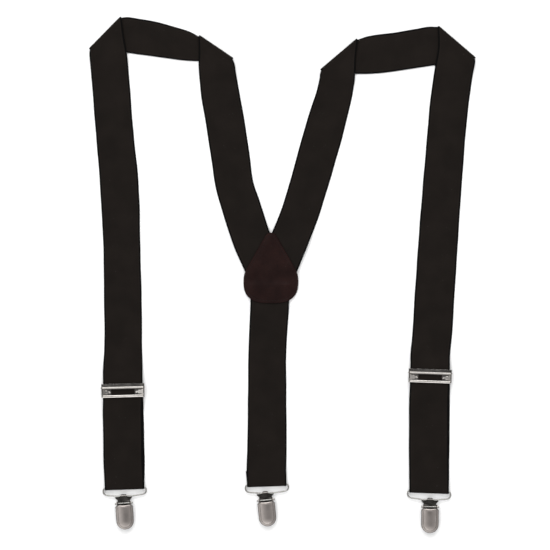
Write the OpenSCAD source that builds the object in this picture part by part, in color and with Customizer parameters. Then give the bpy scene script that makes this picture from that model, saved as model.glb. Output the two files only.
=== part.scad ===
// Adult Y-back suspenders, laid out flat face up: +Y points to the shoulder folds, +Z up from the table.
// Three straps of elastic webbing meet in a leather back patch. Each ends in a wire bail and a lever clip.

/* [Webbing] */
// Thickness of the elastic webbing
webbing_t = 1.2; // [1:0.1:1.3]
// Width of the webbing where it is looped round a bail
loop_w = 39.6; // [38:0.2:39.6]
// Radius of a shoulder fold, at the middle of the webbing
fold_r = 1.2; // [1:0.1:1.4]
// Height of a crossing strap's middle over the strap that it lies on
crossing_rise = 1.7; // [1.6:0.1:1.8]

/* [Back patch] */
// Width of the leather patch
patch_w = 54.8; // [50:0.2:58]
// Length of the leather patch, from its tip to its round end
patch_l = 70.5; // [64:0.5:74]
// Thickness of the leather
leather_t = 1.2; // [1:0.1:1.3]
// Distance of the seam from the edge of the patch
seam_inset = 2.6; // [2:0.1:4]

/* [Bails and clips] */
// Diameter of the bail wire
bail_wire_d = 1.5; // [1.3:0.1:1.6]
// Half width of a bail, at the middle of its wire
bail_half_w = 21.5; // [21.2:0.1:22]
// Distance between a bail's two bars
bail_reach = 8.6; // [8.6:0.1:10]
// Thickness of the sheet steel in a clip
sheet_t = 0.8; // [0.6:0.1:0.8]
// Width of a clip's lever
lever_w = 17.4; // [17.2:0.1:18]
// Distance from the bail to the tip of the lever
lever_tip = 33; // [32:0.5:36]
// Distance from the bail to the hinge pin
pin_drop = 6.8; // [6.8:0.1:7]
// Diameter of the hinge pin
pin_d = 1.6; // [1.4:0.1:1.6]

/* [Adjusters] */
// Width of an adjuster over its cheeks
adjuster_w = 42.8; // [42.6:0.1:44]
// Height of an adjuster along the strap
adjuster_h = 13.5; // [13.5:0.1:15]
// Width of the window in the flap
window_w = 23.6; // [20:0.2:26]
// Length of the sewn hem round an adjuster or a bail
hem_l = 14; // [12:0.5:15]

/* [Hidden] */

// Middle of the whole layout on the table, which becomes the origin
layout_middle = [282.35, -274.57];

// Ends of the three straps: the middle of the bail's top bar, its turn, the clip's own turn and its shift
LEFT = 0;
BACK = 1;
RIGHT = 2;
end_at = [[124.7, -487.5], [266.8, -484.4], [429, -491.1]];
end_turn = [2, 2, -2];
clip_turn = [2, 3.5, 1.5];
clip_shift = [-1.4, -1.9, 1.2];

// Adjusters of the left and right straps
adjuster_at = [[123.2, -390.2], [0, 0], [429.8, -375.7]];
adjuster_turn = [1.5, 0, -2];

// Sideways shifts of the two layers of a side strap's end
front_layer_shift = [-0.9, 0, -0.7];
rear_layer_shift = [0.5, 0, 0.3];

// Heights of the webbing's middle, and the gaps left between layers
layer_gap = 0.3;
leather_gap = 0.1;
crossed_gap = 0.2;
mid_table = webbing_t / 2;
mid_second = mid_table + webbing_t + layer_gap;
mid_crossing = mid_table + crossing_rise;
mid_patch = leather_t + leather_gap + webbing_t / 2;
mid_patch_over = mid_patch + webbing_t + crossed_gap;
mid_adjuster = 4.5;

// Bail, roll and loop
wire_r = bail_wire_d / 2;
wire_gap = 0.15;
loop_r = wire_r + wire_gap + webbing_t / 2;
bar_z = loop_r + webbing_t / 2;
roll_outer_r = bar_z;
roll_inner_r = bar_z - sheet_t;

// Adjuster: heights of its rear bar, anvil plate and flap
cheek_t = 0.8;
cheek_inner = adjuster_w / 2 - cheek_t;
bar_v = -5;
hem_loop_r = 1.2;
hem_bar_z = mid_table + hem_loop_r;
flap_pin_v = 2.9;
flap_pin_z = 6.3;
flap_pin_r = 0.5;
flap_tube_r = 1.1;
strap_seam_v = 5.2;
seam_gap = 0.1;

// Clip: the pin, the lever's shell, the jaws
bore_gap = 0.05;
pin_r = pin_d / 2;
pin_z = 3.6;
ear_outer = 6.55;
ear_t = 0.75;
lever_r = lever_w / 2;
lever_top_z = 7.2;
lever_crown_r = 26;
lever_skirt_z = 1.9;
lever_shoulder = 8.4;
jaw_pivot_v = -9.4;
jaw_pivot_z = 2.9;
jaw_half_w = 6.6;
jaw_tip = 31;
jaw_t = 0.6;
pad_half_w = 6;
pad_from = 21;
pad_to = 29;

// Rulings of the side straps, as [x, y] of the a edge, [x, y] of the b edge and the height of the middle.
// The a edge is the patch side's outer edge, then the top of the shoulder, then the front's inner edge.
left_back_rulings = [
    [[246, -274], [283, -261], mid_patch],
    [[233, -244.5], [269.5, -231.5], mid_patch],
    [[222.5, -211.5], [259.5, -200], mid_table],
    [[217, -193], [254, -184.5], mid_table],
    [[212, -164], [250, -158], mid_table],
    [[206, -125], [244.5, -121], mid_table],
    [[201.2, -95], [240, -95], mid_table]
];
left_shoulder_in = [
    [[201.2, -94.8], [240, -94.8], mid_table],
    [[200, -84], [238, -84], mid_table],
    [[198.7, -66], [236, -73], mid_crossing],
    [[199, -50], [234.6, -64], mid_crossing]
];
left_shoulder_inner_fold = [[199.5, -35], [233.5, -58]];
left_shoulder_across = [
    [[190, -31.8], [212, -60.8], mid_table],
    [[175, -27], [190, -61], mid_table],
    [[160, -22.9], [166, -58.3], mid_table],
    [[140, -19], [138, -54.4], mid_table],
    [[128, -17.2], [112, -50.8], mid_table]
];
left_shoulder_outer_fold = [[120.5, -16.4], [89, -48.4]];
left_shoulder_out = [
    [[124, -36], [89.6, -54], mid_crossing],
    [[127.3, -56], [90, -61], mid_crossing],
    [[128.7, -72], [91, -72], mid_table + 0.5],
    [[129.7, -84.8], [92, -84.8], mid_table]
];
left_front_rulings = [
    [[129.7, -85], [92, -85], mid_table],
    [[131.6, -110], [94, -110], mid_table],
    [[134.3, -140], [96.5, -140], mid_table],
    [[137.5, -170], [99, -170], mid_table],
    [[139.3, -200], [100.8, -200], mid_table],
    [[140.4, -245], [103.4, -245], mid_table],
    [[141.6, -300], [103.9, -300], mid_table],
    [[142.3, -350], [104.3, -350], mid_table]
];

right_back_rulings = [
    [[297, -272], [260, -257.5], mid_patch_over],
    [[308, -245], [272.5, -231.5], mid_patch_over],
    [[316.5, -223], [280, -213], mid_table],
    [[324.5, -198], [288, -188], mid_table],
    [[333, -170], [296, -159.5], mid_table],
    [[343.5, -133], [306.5, -122.5], mid_table],
    [[350.4, -104], [312.2, -104], mid_table]
];
right_shoulder_in = [
    [[350.4, -103.8], [312.2, -103.8], mid_table],
    [[353, -91], [316.5, -91], mid_table],
    [[355, -76], [319.6, -78], mid_crossing],
    [[355.8, -56], [319.8, -74.5], mid_crossing]
];
right_shoulder_inner_fold = [[356.5, -38.5], [320, -69.5]];
right_shoulder_across = [
    [[366, -36.7], [342, -73.3], mid_table],
    [[380, -34.3], [370, -73.9], mid_table],
    [[398, -32.2], [400, -70.7], mid_table],
    [[416, -29], [424, -67], mid_table],
    [[428, -26.8], [452, -62.5], mid_table]
];
right_shoulder_outer_fold = [[438.5, -25.6], [475.7, -57.5]];
right_shoulder_out = [
    [[438, -45], [475, -62], mid_crossing],
    [[435.4, -64], [474, -68.5], mid_crossing],
    [[433.4, -77], [472.4, -77], mid_table + 0.5],
    [[432, -86.8], [471, -86.8], mid_table]
];
right_front_rulings = [
    [[432, -87], [471, -87], mid_table],
    [[429.3, -110], [468.1, -110], mid_table],
    [[426.6, -140], [465, -140], mid_table],
    [[424, -170], [462.8, -170], mid_table],
    [[421.7, -200], [460.7, -200], mid_table],
    [[418, -245], [457.6, -245], mid_table],
    [[414.4, -300], [454.2, -300], mid_table],
    [[412, -338], [451.8, -338], mid_table]
];

// The back strap from under the patch to where its hem begins
back_rulings = [
    [[289.2, -286], [250.6, -286], mid_patch],
    [[289.1, -304], [250.4, -304], mid_patch],
    [[288.3, -320], [249.8, -320], mid_table],
    [[286.2, -350], [248.4, -350], mid_table],
    [[286.2, -385], [248, -385], mid_table],
    [[286.6, -420], [247.8, -420], mid_table],
    [[286.6, -450], [247.2, -450], mid_table]
];

// Half of the bail's outline, from the middle of its top bar to the middle of its lower bar
bail_half = [
    [0, 0], [19.8, 0], [20.9, -0.8], [bail_half_w, -2.4], [bail_half_w, -4.2], [20.6, -6],
    [18.4, -7.2], [15, -7.6], [11, -8], [8, -8.4], [5.8, -bail_reach], [0, -bail_reach]
];

// Vector helpers
function unit(v) = v / norm(v);
function lerp(a, b, s) = a + (b - a) * s;
function turned(p, angle) = [
    p.x * cos(angle) - p.y * sin(angle),
    p.x * sin(angle) + p.y * cos(angle)
];
function reversed(list) = [for (i = [len(list) - 1 : -1 : 0]) list[i]];

// One ruling as two points at one height
function ruling(row) = [
    [row[0].x, row[0].y, row[2]],
    [row[1].x, row[1].y, row[2]]
];
function run(rows) = [for (row = rows) ruling(row)];

// The webbing bending under a fold line, from mid_table up to the layer over it.
// The line is the fold's outer edge, and inward points from it towards the strap.
function fold(line, inward, steps = 8) = [
    for (i = [0 : steps])
        let (
            angle = 180 * i / steps,
            across = unit(line[1] - line[0]),
            square_in = unit(inward - across * (inward * across)),
            back = webbing_t / 2 + fold_r * (1 - sin(angle)),
            height = mid_table + fold_r * (1 - cos(angle))
        )
        [for (p = line) [p.x + square_in.x * back, p.y + square_in.y * back, height]]
];

// A ruling square across a strap, at a place on its middle line; its a edge is the one nearer the back strap
function square_ruling(side, middle, angle, z) =
    let (half_w = side == RIGHT ? -loop_w / 2 : loop_w / 2)
    [for (u = [half_w, -half_w]) [each (middle + turned([u, 0], angle)), z]];

// A ruling of a side strap's end: s runs from 0 at the bail to 1 at the adjuster
function end_ruling(side, s, z, shift = 0) =
    let (angle = lerp(end_turn[side], adjuster_turn[side], s))
    square_ruling(
        side,
        lerp(end_at[side], adjuster_at[side], s) + turned([shift, 0], angle),
        angle,
        z
    );

// Rulings round a bar that lies across the strap at height z, from above it to below it when sign is 1
function round_bar(side, middle, angle, z, r, sign, steps = 8) = [
    for (i = [0 : steps])
        let (turn = 180 * i / steps)
        square_ruling(
            side,
            middle + turned([0, -sign * r * sin(turn)], angle),
            angle,
            z + sign * r * cos(turn)
        )
];

// The closed solid of a strip of webbing through its rulings
module ribbon(rulings, t = webbing_t) {
    last = len(rulings) - 1;
    corners = [
        for (i = [0 : last])
            let (
                before = rulings[max(i - 1, 0)],
                after = rulings[min(i + 1, last)],
                along = after[0] + after[1] - before[0] - before[1],
                normal = unit(cross(rulings[i][1] - rulings[i][0], along)) * t / 2
            )
            each [
                rulings[i][0] + normal, rulings[i][1] + normal,
                rulings[i][1] - normal, rulings[i][0] - normal
            ]
    ];
    walls = [
        for (i = [0 : last - 1], k = [0 : 3])
            let (a = 4 * i + k, b = 4 * i + (k + 1) % 4)
            each [[a, b, b + 4], [a, b + 4, a + 4]]
    ];
    first_cap = [[0, 2, 1], [0, 3, 2]];
    last_cap = [for (face = first_cap) [for (j = [2 : -1 : 0]) face[j] + 4 * last]];
    polyhedron(corners, concat(walls, first_cap, last_cap));
}

// The closed ring of round wire through a flat loop of points
module wire_ring(points, r, sides = 10) {
    count = len(points);
    corners = [
        for (i = [0 : count - 1])
            let (
                along = unit(points[(i + 1) % count] - points[(i + count - 1) % count]),
                side = [along.y, -along.x]
            )
            for (k = [0 : sides - 1])
                let (angle = 360 * k / sides)
                [each (points[i] + side * r * cos(angle)), r * sin(angle)]
    ];
    walls = [
        for (i = [0 : count - 1], k = [0 : sides - 1])
            let (
                a = sides * i + k,
                b = sides * i + (k + 1) % sides,
                c = sides * ((i + 1) % count) + (k + 1) % sides,
                d = sides * ((i + 1) % count) + k
            )
            each [[a, b, c], [a, c, d]]
    ];
    polyhedron(corners, walls);
}

// Places of the three kinds of fitting
module layout() {
    translate([-layout_middle.x, -layout_middle.y, 0]) children();
}
module at_end(side) {
    layout() translate([end_at[side].x, end_at[side].y, bar_z]) rotate(end_turn[side]) children();
}
module at_clip(side) {
    at_end(side)
        translate([clip_shift[side], -bail_reach, -bar_z]) rotate(clip_turn[side]) children();
}
module at_adjuster(side) {
    layout() translate([adjuster_at[side].x, adjuster_at[side].y, 0])
        rotate(adjuster_turn[side]) children();
}

// A bar or pin across the strap
module cross_pin(r, half_l) {
    rotate([0, 90, 0]) cylinder(r = r, h = 2 * half_l, center = true, $fn = 32);
}
// A side plate across the strap between two distances from the middle, from an outline in the v-z plane
module side_plate(from, to) {
    for (side = [0, 1])
        mirror([side, 0, 0])
            translate([from, 0, 0]) rotate([90, 0, 90]) linear_extrude(to - from) children();
}

// Leather patch
// The belly's half height and the power of its curve: round above its widest place, squarer below it
belly_above = [26, 2];
belly_below = [22.6, 2.8];
module patch_outline(inset = 0) {
    bottom_y = -303.2;
    belly_y = bottom_y + belly_below[0];
    belly_sides = 72;
    tip_r = 6.5;
    tip_y = bottom_y + patch_l - tip_r;
    middle_x = 270.9;
    belly = [
        for (i = [0 : belly_sides - 1])
            let (
                angle = 360 * i / belly_sides,
                half = angle < 180 ? belly_above : belly_below,
                along = pow(abs(cos(angle)), 2 / half[1]),
                up = pow(abs(sin(angle)), 2 / half[1])
            )
            [patch_w / 2 * sign(cos(angle)) * along, half[0] * sign(sin(angle)) * up]
    ];
    offset(delta = -inset) hull() {
        translate([middle_x, belly_y]) polygon(belly);
        translate([middle_x, tip_y]) circle(tip_r, $fn = 32);
    }
}
patch_top_z = mid_patch_over + webbing_t / 2 + leather_gap;
module patch_backing() {
    color("#2b2020") layout() linear_extrude(leather_t) patch_outline();
}
module patch_leather() {
    color("#2a1c1b") layout() translate([0, 0, patch_top_z]) linear_extrude(leather_t) patch_outline();
}
module patch_stitching() {
    thread = 0.5;
    color("#1a1414") layout() translate([0, 0, patch_top_z + leather_t]) linear_extrude(thread / 2)
        difference() {
            patch_outline(seam_inset);
            patch_outline(seam_inset + thread);
        }
}

// Webbing
module strap(rulings) {
    color("#201c1a") layout() ribbon(rulings);
}
function shoulder_rulings(into, inner_fold, across, outer_fold, out) = concat(
    run(into),
    reversed(fold(inner_fold, across[2][1] - inner_fold[0])),
    run(across),
    fold(outer_fold, across[2][1] - outer_fold[0]),
    run(out)
);
module left_strap_back() {
    strap(run(left_back_rulings));
}
module left_strap_shoulder() {
    strap(shoulder_rulings(left_shoulder_in, left_shoulder_inner_fold, left_shoulder_across,
        left_shoulder_outer_fold, left_shoulder_out));
}
module right_strap_back() {
    strap(run(right_back_rulings));
}
module right_strap_shoulder() {
    strap(shoulder_rulings(right_shoulder_in, right_shoulder_inner_fold, right_shoulder_across,
        right_shoulder_outer_fold, right_shoulder_out));
}
// The front strap climbs from the table into the adjuster
module strap_front(side, rows) {
    reach = norm(adjuster_at[side] - end_at[side]);
    climb = [
        [adjuster_h / 2 + 14, 2.2],
        [adjuster_h / 2 + 4, mid_adjuster - 0.3],
        [strap_seam_v + seam_gap, mid_adjuster]
    ];
    strap(concat(
        run(rows),
        [for (step = climb) end_ruling(side, 1 + step[0] / reach, step[1])]
    ));
}
// The strap's end goes down from the adjuster, round the bail, up behind and round the adjuster's bar
module strap_end(side) {
    reach = norm(adjuster_at[side] - end_at[side]);
    hem_end = reach + bar_v - hem_l;
    // Distances from the bail, heights and shares of the layer's sideways shift
    down = [
        [reach + strap_seam_v - seam_gap, mid_adjuster, 0], [reach - 8, mid_adjuster, 0.5],
        [hem_end, mid_second + webbing_t + 0.3, 1], [hem_end - 14, mid_second, 1],
        [reach / 2, mid_second, 1], [20, mid_second, 0.8], [10, mid_second + 0.5, 0.4]
    ];
    up = [[20, mid_table, 0.8], [reach / 2, mid_table, 1], [reach - 12, mid_table, 0.6]];
    hem = [
        [reach - 8, mid_table + 2 * hem_loop_r, 0.4], [hem_end, mid_table + webbing_t + 0.15, 0.8]
    ];
    function layer(rows, shift) = [
        for (row = rows) end_ruling(side, row[0] / reach, row[1], row[2] * shift)
    ];
    strap(concat(
        layer(down, front_layer_shift[side]),
        round_bar(side, end_at[side], end_turn[side], bar_z, loop_r, 1),
        layer(up, rear_layer_shift[side]),
        round_bar(side, adjuster_at[side] + turned([0, bar_v], adjuster_turn[side]),
            adjuster_turn[side], hem_bar_z, hem_loop_r, -1),
        layer(hem, rear_layer_shift[side])
    ));
}
module back_strap() {
    function across(v, z) = square_ruling(
        BACK, end_at[BACK] + turned([0, v], end_turn[BACK]), end_turn[BACK], z
    );
    strap(concat(
        run(back_rulings),
        [across(hem_l + 1, mid_second), across(8, mid_second + 0.7)],
        round_bar(BACK, end_at[BACK], end_turn[BACK], bar_z, loop_r, 1),
        [across(hem_l, mid_table)]
    ));
}

// Adjuster frame: two cheeks, the rear bar in the hem, the anvil plate and the bridge over the strap
module adjuster_frame(side) {
    half_h = adjuster_h / 2;
    cheek_z = [1.3, 7.2];
    anvil_z = 2.9;
    bridge_z = mid_adjuster + webbing_t / 2 + layer_gap;
    bridge_from = flap_pin_v + flap_tube_r + 0.2;
    bridge_t = 1;
    bar_from = bar_v - 2;
    bar_depth = 2.25;
    bar_t = 1;
    anvil_from = bar_v + 2.2;
    overlap = 0.1;
    span = 2 * (cheek_inner + overlap);
    color("#b9b6b2") at_adjuster(side) difference() {
        union() {
            side_plate(cheek_inner, cheek_inner + cheek_t)
                translate([-half_h, cheek_z[0]]) square([adjuster_h, cheek_z[1] - cheek_z[0]]);
            translate([-span / 2, bar_from, hem_bar_z - bar_t / 2]) cube([span, bar_depth, bar_t]);
            translate([-span / 2, anvil_from, anvil_z]) cube([span, half_h - anvil_from, sheet_t]);
            translate([-span / 2, bridge_from, bridge_z]) cube([span, half_h - bridge_from, bridge_t]);
        }
        translate([0, flap_pin_v, flap_pin_z]) cross_pin(flap_pin_r + bore_gap, adjuster_w);
    }
}
// Adjuster flap: a hinge tube, a plate with a window, and teeth that bite the strap
module adjuster_flap(side) {
    half_w = cheek_inner - 0.2;
    flap_l = flap_pin_v + adjuster_h / 2;
    plate_z = -0.3;
    window_l = 5.8;
    lip = 2.3;
    tooth_count = 9;
    tooth_pitch = 4;
    tooth = [1.2, 0.9];
    tooth_v = -0.7;
    tooth_tip_z = mid_adjuster + webbing_t / 2 + 0.05 - flap_pin_z;
    color("#c9c6c2") at_adjuster(side) translate([0, flap_pin_v, flap_pin_z]) {
        difference() {
            union() {
                cross_pin(flap_tube_r, half_w);
                difference() {
                    translate([-half_w, -flap_l, plate_z]) cube([2 * half_w, flap_l, sheet_t]);
                    translate([-window_w / 2, lip - flap_l, -1]) cube([window_w, window_l, 2]);
                }
                for (i = [0 : tooth_count - 1])
                    translate([(i - (tooth_count - 1) / 2) * tooth_pitch, tooth_v, tooth_tip_z])
                        cube([tooth.x, tooth.y, -tooth_tip_z]);
            }
            cross_pin(flap_pin_r + 0.06, adjuster_w);
        }
    }
}
module adjuster_pin(side) {
    pin_stands_out = 0.9;
    color("#a8a5a0") at_adjuster(side) translate([0, flap_pin_v, flap_pin_z])
        cross_pin(flap_pin_r, adjuster_w / 2 + pin_stands_out);
}

// Bail: a closed ring of steel wire
module bail(side) {
    far_half = [for (i = [len(bail_half) - 2 : -1 : 1]) [-bail_half[i].x, bail_half[i].y]];
    color("#8f8c88") at_end(side) wire_ring(concat(bail_half, far_half), wire_r);
}

// Clip back: the roll round the bail, the winged neck, two ears for the pin, and the fixed jaw
module clip_back(side) {
    roll_half_w = 3.1;
    roll_corner_r = 1.6;
    tongue_l = 4.2;
    tongue_half_w = 5.6;
    wing_half_w = 8.5;
    neck_half_w = 6.2;
    end_r = 7.2;
    end_v = end_r - 32;
    lug_r = 0.6;
    plate = [
        [roll_half_w, 0.1], [roll_half_w, -0.4], [wing_half_w, -0.6], [wing_half_w, -1.3],
        [neck_half_w, -3.8], [neck_half_w, -4.4], [ear_outer, -5.2], [ear_outer, -12],
        [end_r, -14], [end_r, end_v]
    ];
    tongue = [[roll_half_w, 0.1], [tongue_half_w, 0.8 - tongue_l], [tongue_half_w - 0.8, -tongue_l]];
    ear = [[-4.9, 0.7], [-5, 4.2], [-5.8, 5.3], [-7.6, 5.4], [-10.6, 3.9], [-11, 0.7]];
    color("#9b9894") at_clip(side) {
        difference() {
            union() {
                linear_extrude(sheet_t) {
                    polygon(concat(plate, [for (p = reversed(plate)) [-p.x, p.y]]));
                    translate([0, end_v]) circle(end_r, $fn = 48);
                }
                side_plate(ear_outer - ear_t, ear_outer) polygon(ear);
            }
            translate([0, -pin_drop, pin_z]) cross_pin(pin_r + bore_gap, lever_w);
            translate([0, jaw_pivot_v, jaw_pivot_z]) cross_pin(lug_r, lever_w);
        }
        intersection() {
            translate([0, 0, bar_z]) difference() {
                cross_pin(roll_outer_r, roll_half_w);
                cross_pin(roll_inner_r, lever_w);
            }
            linear_extrude(3 * bar_z) hull() {
                translate([-roll_half_w, 0]) square([2 * roll_half_w, 0.1]);
                for (x = [roll_corner_r - roll_half_w, roll_half_w - roll_corner_r])
                    translate([x, roll_outer_r - roll_corner_r]) circle(roll_corner_r, $fn = 32);
            }
        }
        translate([0, 0, 2 * bar_z - sheet_t]) linear_extrude(sheet_t)
            polygon(concat(tongue, [for (p = reversed(tongue)) [-p.x, p.y]]));
    }
}

// Lever outline, from its cut corners to its round tip; past is how far it runs beyond its upper edge
module lever_outline(inset = 0, past = 0) {
    r = lever_r - inset;
    round_v = lever_r - lever_tip;
    edge_v = past - lever_shoulder;
    corner = [2.1, 1.4];
    half = [[r - corner.x, edge_v], [r, edge_v - corner.y], [r, round_v]];
    polygon(concat(half, [for (p = reversed(half)) [-p.x, p.y]]));
    translate([0, round_v]) circle(r, $fn = 64);
}
module lever_crown(drop) {
    translate([0, 0, lever_top_z - lever_crown_r])
        rotate([90, 0, 0]) cylinder(r = lever_crown_r - drop, h = 80, center = true, $fn = 96);
}
// Clip lever: a crowned shield with skirts, two cheeks on the pin, and the cam that shuts the jaw
module clip_lever(side) {
    flange_t = 0.8;
    bite_r = 40;
    bite_depth = 0.2;
    cam_v = -12.5;
    cam_half_w = 6.7;
    cam_t = 1.2;
    cam_z = [jaw_pivot_z + 0.4, jaw_pivot_z + 3];
    cheek_t = 0.7;
    boss_r = 2;
    cheek_from = ear_outer + 0.1;
    cheek_to = cheek_from + cheek_t;
    cheek = [[-pin_drop, pin_z - boss_r], [-pin_drop, pin_z + boss_r], [-10, 5.9], [-13, 5.6], [-13, 1.9]];
    color("#8d8680") at_clip(side) difference() {
        union() {
            difference() {
                intersection() {
                    translate([0, 0, lever_skirt_z]) linear_extrude(6) lever_outline();
                    lever_crown(0);
                }
                intersection() {
                    linear_extrude(8) lever_outline(flange_t, 2);
                    lever_crown(sheet_t);
                }
                translate([0, bite_r - lever_shoulder - bite_depth, 0])
                    cylinder(r = bite_r, h = 20, $fn = 96);
            }
            side_plate(cheek_from, cheek_to) {
                polygon(cheek);
                translate([-pin_drop, pin_z]) circle(boss_r, $fn = 32);
            }
            translate([-cam_half_w, cam_v, cam_z[0]]) cube([2 * cam_half_w, cam_t, cam_z[1] - cam_z[0]]);
        }
        translate([0, -pin_drop, pin_z]) cross_pin(pin_r + bore_gap, lever_w);
    }
}

// Clip jaw: a thin plate, narrow between the cheeks, on two lugs in the ears
module clip_jaw(side) {
    tip_r = 4;
    start = 8.9;
    neck_half_w = ear_outer - ear_t - 0.1;
    neck_end = 13.6;
    lug_r = 0.5;
    color("#a5a29e") at_clip(side) {
        translate([0, 0, jaw_pivot_z - jaw_t / 2]) linear_extrude(jaw_t) {
            translate([-neck_half_w, -neck_end]) square([2 * neck_half_w, neck_end - start]);
            translate([-jaw_half_w, tip_r - jaw_tip]) square([2 * jaw_half_w, jaw_tip - tip_r - neck_end]);
            translate([tip_r - jaw_half_w, -jaw_tip]) square([2 * (jaw_half_w - tip_r), tip_r + 1]);
            for (x = [tip_r - jaw_half_w, jaw_half_w - tip_r])
                translate([x, tip_r - jaw_tip]) circle(tip_r, $fn = 48);
        }
        translate([0, jaw_pivot_v, jaw_pivot_z]) cross_pin(lug_r, ear_outer - 0.05);
    }
}
module hinge_pin(side) {
    head_r = 1.1;
    head_t = 0.5;
    head_from = lever_r - 0.1;
    color("#8b8884") at_clip(side) translate([0, -pin_drop, pin_z]) {
        cross_pin(pin_r, head_from + 0.3);
        for (x = [-1, 1])
            translate([x * (head_from + head_t / 2), 0, 0]) cross_pin(head_r, head_t / 2);
    }
}
module pad(side, z, t) {
    color("#d8d4c8") at_clip(side)
        translate([-pad_half_w, -pad_to, z]) cube([2 * pad_half_w, pad_to - pad_from, t]);
}
module back_pad(side) {
    pad(side, sheet_t, 0.85);
}
module jaw_pad(side) {
    pad_t = 0.8;
    pad(side, jaw_pivot_z - jaw_t / 2 - pad_t, pad_t);
}

patch_leather();
patch_backing();
patch_stitching();
left_strap_back();
left_strap_shoulder();
strap_front(LEFT, left_front_rulings);  // left_strap_front
strap_end(LEFT);  // left_strap_end
right_strap_back();
right_strap_shoulder();
strap_front(RIGHT, right_front_rulings);  // right_strap_front
strap_end(RIGHT);  // right_strap_end
back_strap();
adjuster_frame(LEFT);  // left_adjuster_frame
adjuster_flap(LEFT);  // left_adjuster_flap
adjuster_pin(LEFT);  // left_adjuster_pin
adjuster_frame(RIGHT);  // right_adjuster_frame
adjuster_flap(RIGHT);  // right_adjuster_flap
adjuster_pin(RIGHT);  // right_adjuster_pin
bail(LEFT);  // left_bail
clip_back(LEFT);  // left_clip_back
clip_lever(LEFT);  // left_clip_lever
clip_jaw(LEFT);  // left_clip_jaw
hinge_pin(LEFT);  // left_hinge_pin
back_pad(LEFT);  // left_back_pad
jaw_pad(LEFT);  // left_jaw_pad
bail(BACK);  // back_bail
clip_back(BACK);  // back_clip_back
clip_lever(BACK);  // back_clip_lever
clip_jaw(BACK);  // back_clip_jaw
hinge_pin(BACK);  // back_hinge_pin
back_pad(BACK);  // back_back_pad
jaw_pad(BACK);  // back_jaw_pad
bail(RIGHT);  // right_bail
clip_back(RIGHT);  // right_clip_back
clip_lever(RIGHT);  // right_clip_lever
clip_jaw(RIGHT);  // right_clip_jaw
hinge_pin(RIGHT);  // right_hinge_pin
back_pad(RIGHT);  // right_back_pad
jaw_pad(RIGHT);  // right_jaw_pad
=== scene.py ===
"""Adult Y-back suspenders of black elastic webbing, laid out flat, face up.

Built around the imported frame, in metres: +Y points to the shoulder folds, +Z up from the table.
"""

import math

import bmesh
import bpy
import numpy as np
from mathutils import Matrix


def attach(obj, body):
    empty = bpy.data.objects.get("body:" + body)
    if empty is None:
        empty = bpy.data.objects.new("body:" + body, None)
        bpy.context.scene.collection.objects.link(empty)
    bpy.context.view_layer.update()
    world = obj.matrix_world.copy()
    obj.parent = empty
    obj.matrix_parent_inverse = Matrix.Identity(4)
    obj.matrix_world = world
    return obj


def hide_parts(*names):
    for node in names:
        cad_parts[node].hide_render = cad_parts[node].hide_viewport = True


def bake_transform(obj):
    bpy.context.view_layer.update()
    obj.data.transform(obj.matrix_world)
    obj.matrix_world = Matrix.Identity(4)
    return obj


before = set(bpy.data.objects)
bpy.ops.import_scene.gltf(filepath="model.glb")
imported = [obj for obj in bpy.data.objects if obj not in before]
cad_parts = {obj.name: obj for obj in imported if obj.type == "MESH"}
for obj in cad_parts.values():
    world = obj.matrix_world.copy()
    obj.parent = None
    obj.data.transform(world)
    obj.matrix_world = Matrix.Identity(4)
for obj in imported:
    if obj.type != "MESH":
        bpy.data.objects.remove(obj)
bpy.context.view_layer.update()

# ---------------------------------------------------------------------------------------------
# Webbing of the side straps. Each side strap is one length of woven elastic webbing, 38 mm wide.
# It runs from the back patch over the shoulder, folds over twice to come down the front, passes
# through the adjuster and the bail, and is sewn back round the adjuster's rear bar.
# ---------------------------------------------------------------------------------------------
mm = 0.001
# Places in the layout are in mm from a point above and to the left of it, where x and y are 0.
# Taking layout_middle away brings them to the frame's origin.
layout_middle = np.array([282.35, -274.57, 0.0])
side_sign = {"left": 1, "back": 1, "right": -1}

webbing_t = 1.2
webbing_w = 38.0
loop_w = 39.6
fold_r = 1.2
mid_table = webbing_t / 2
layer_gap = 0.3
crossed_gap = 0.2
crossing_rise = 1.7
lining_top_z = 1.3
mid_second = mid_table + webbing_t + layer_gap
mid_crossing = mid_table + crossing_rise
mid_patch = lining_top_z + webbing_t / 2
mid_patch_over = mid_patch + webbing_t + crossed_gap
mid_adjuster = 4.5

wire_r = 0.75
wire_gap = 0.15
loop_r = wire_r + wire_gap + webbing_t / 2
bar_z = loop_r + webbing_t / 2
end_at = {
    "left": np.array([124.7, -487.5]),
    "back": np.array([266.8, -484.4]),
    "right": np.array([429, -491.1]),
}
end_turn = {"left": 2, "back": 2, "right": -2}

adjuster_at = {"left": np.array([123.2, -390.2]), "right": np.array([429.8, -375.7])}
adjuster_turn = {"left": 1.5, "right": -2}
adjuster_h = 13.5
front_layer_shift = {"left": -0.9, "right": -0.7}
rear_layer_shift = {"left": 0.5, "right": 0.3}
rear_bar_v = -5.0
hem_l = 14.0
hem_loop_r = 1.2
hem_bar_z = mid_table + hem_loop_r
strap_seam_v = 5.2

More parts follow.
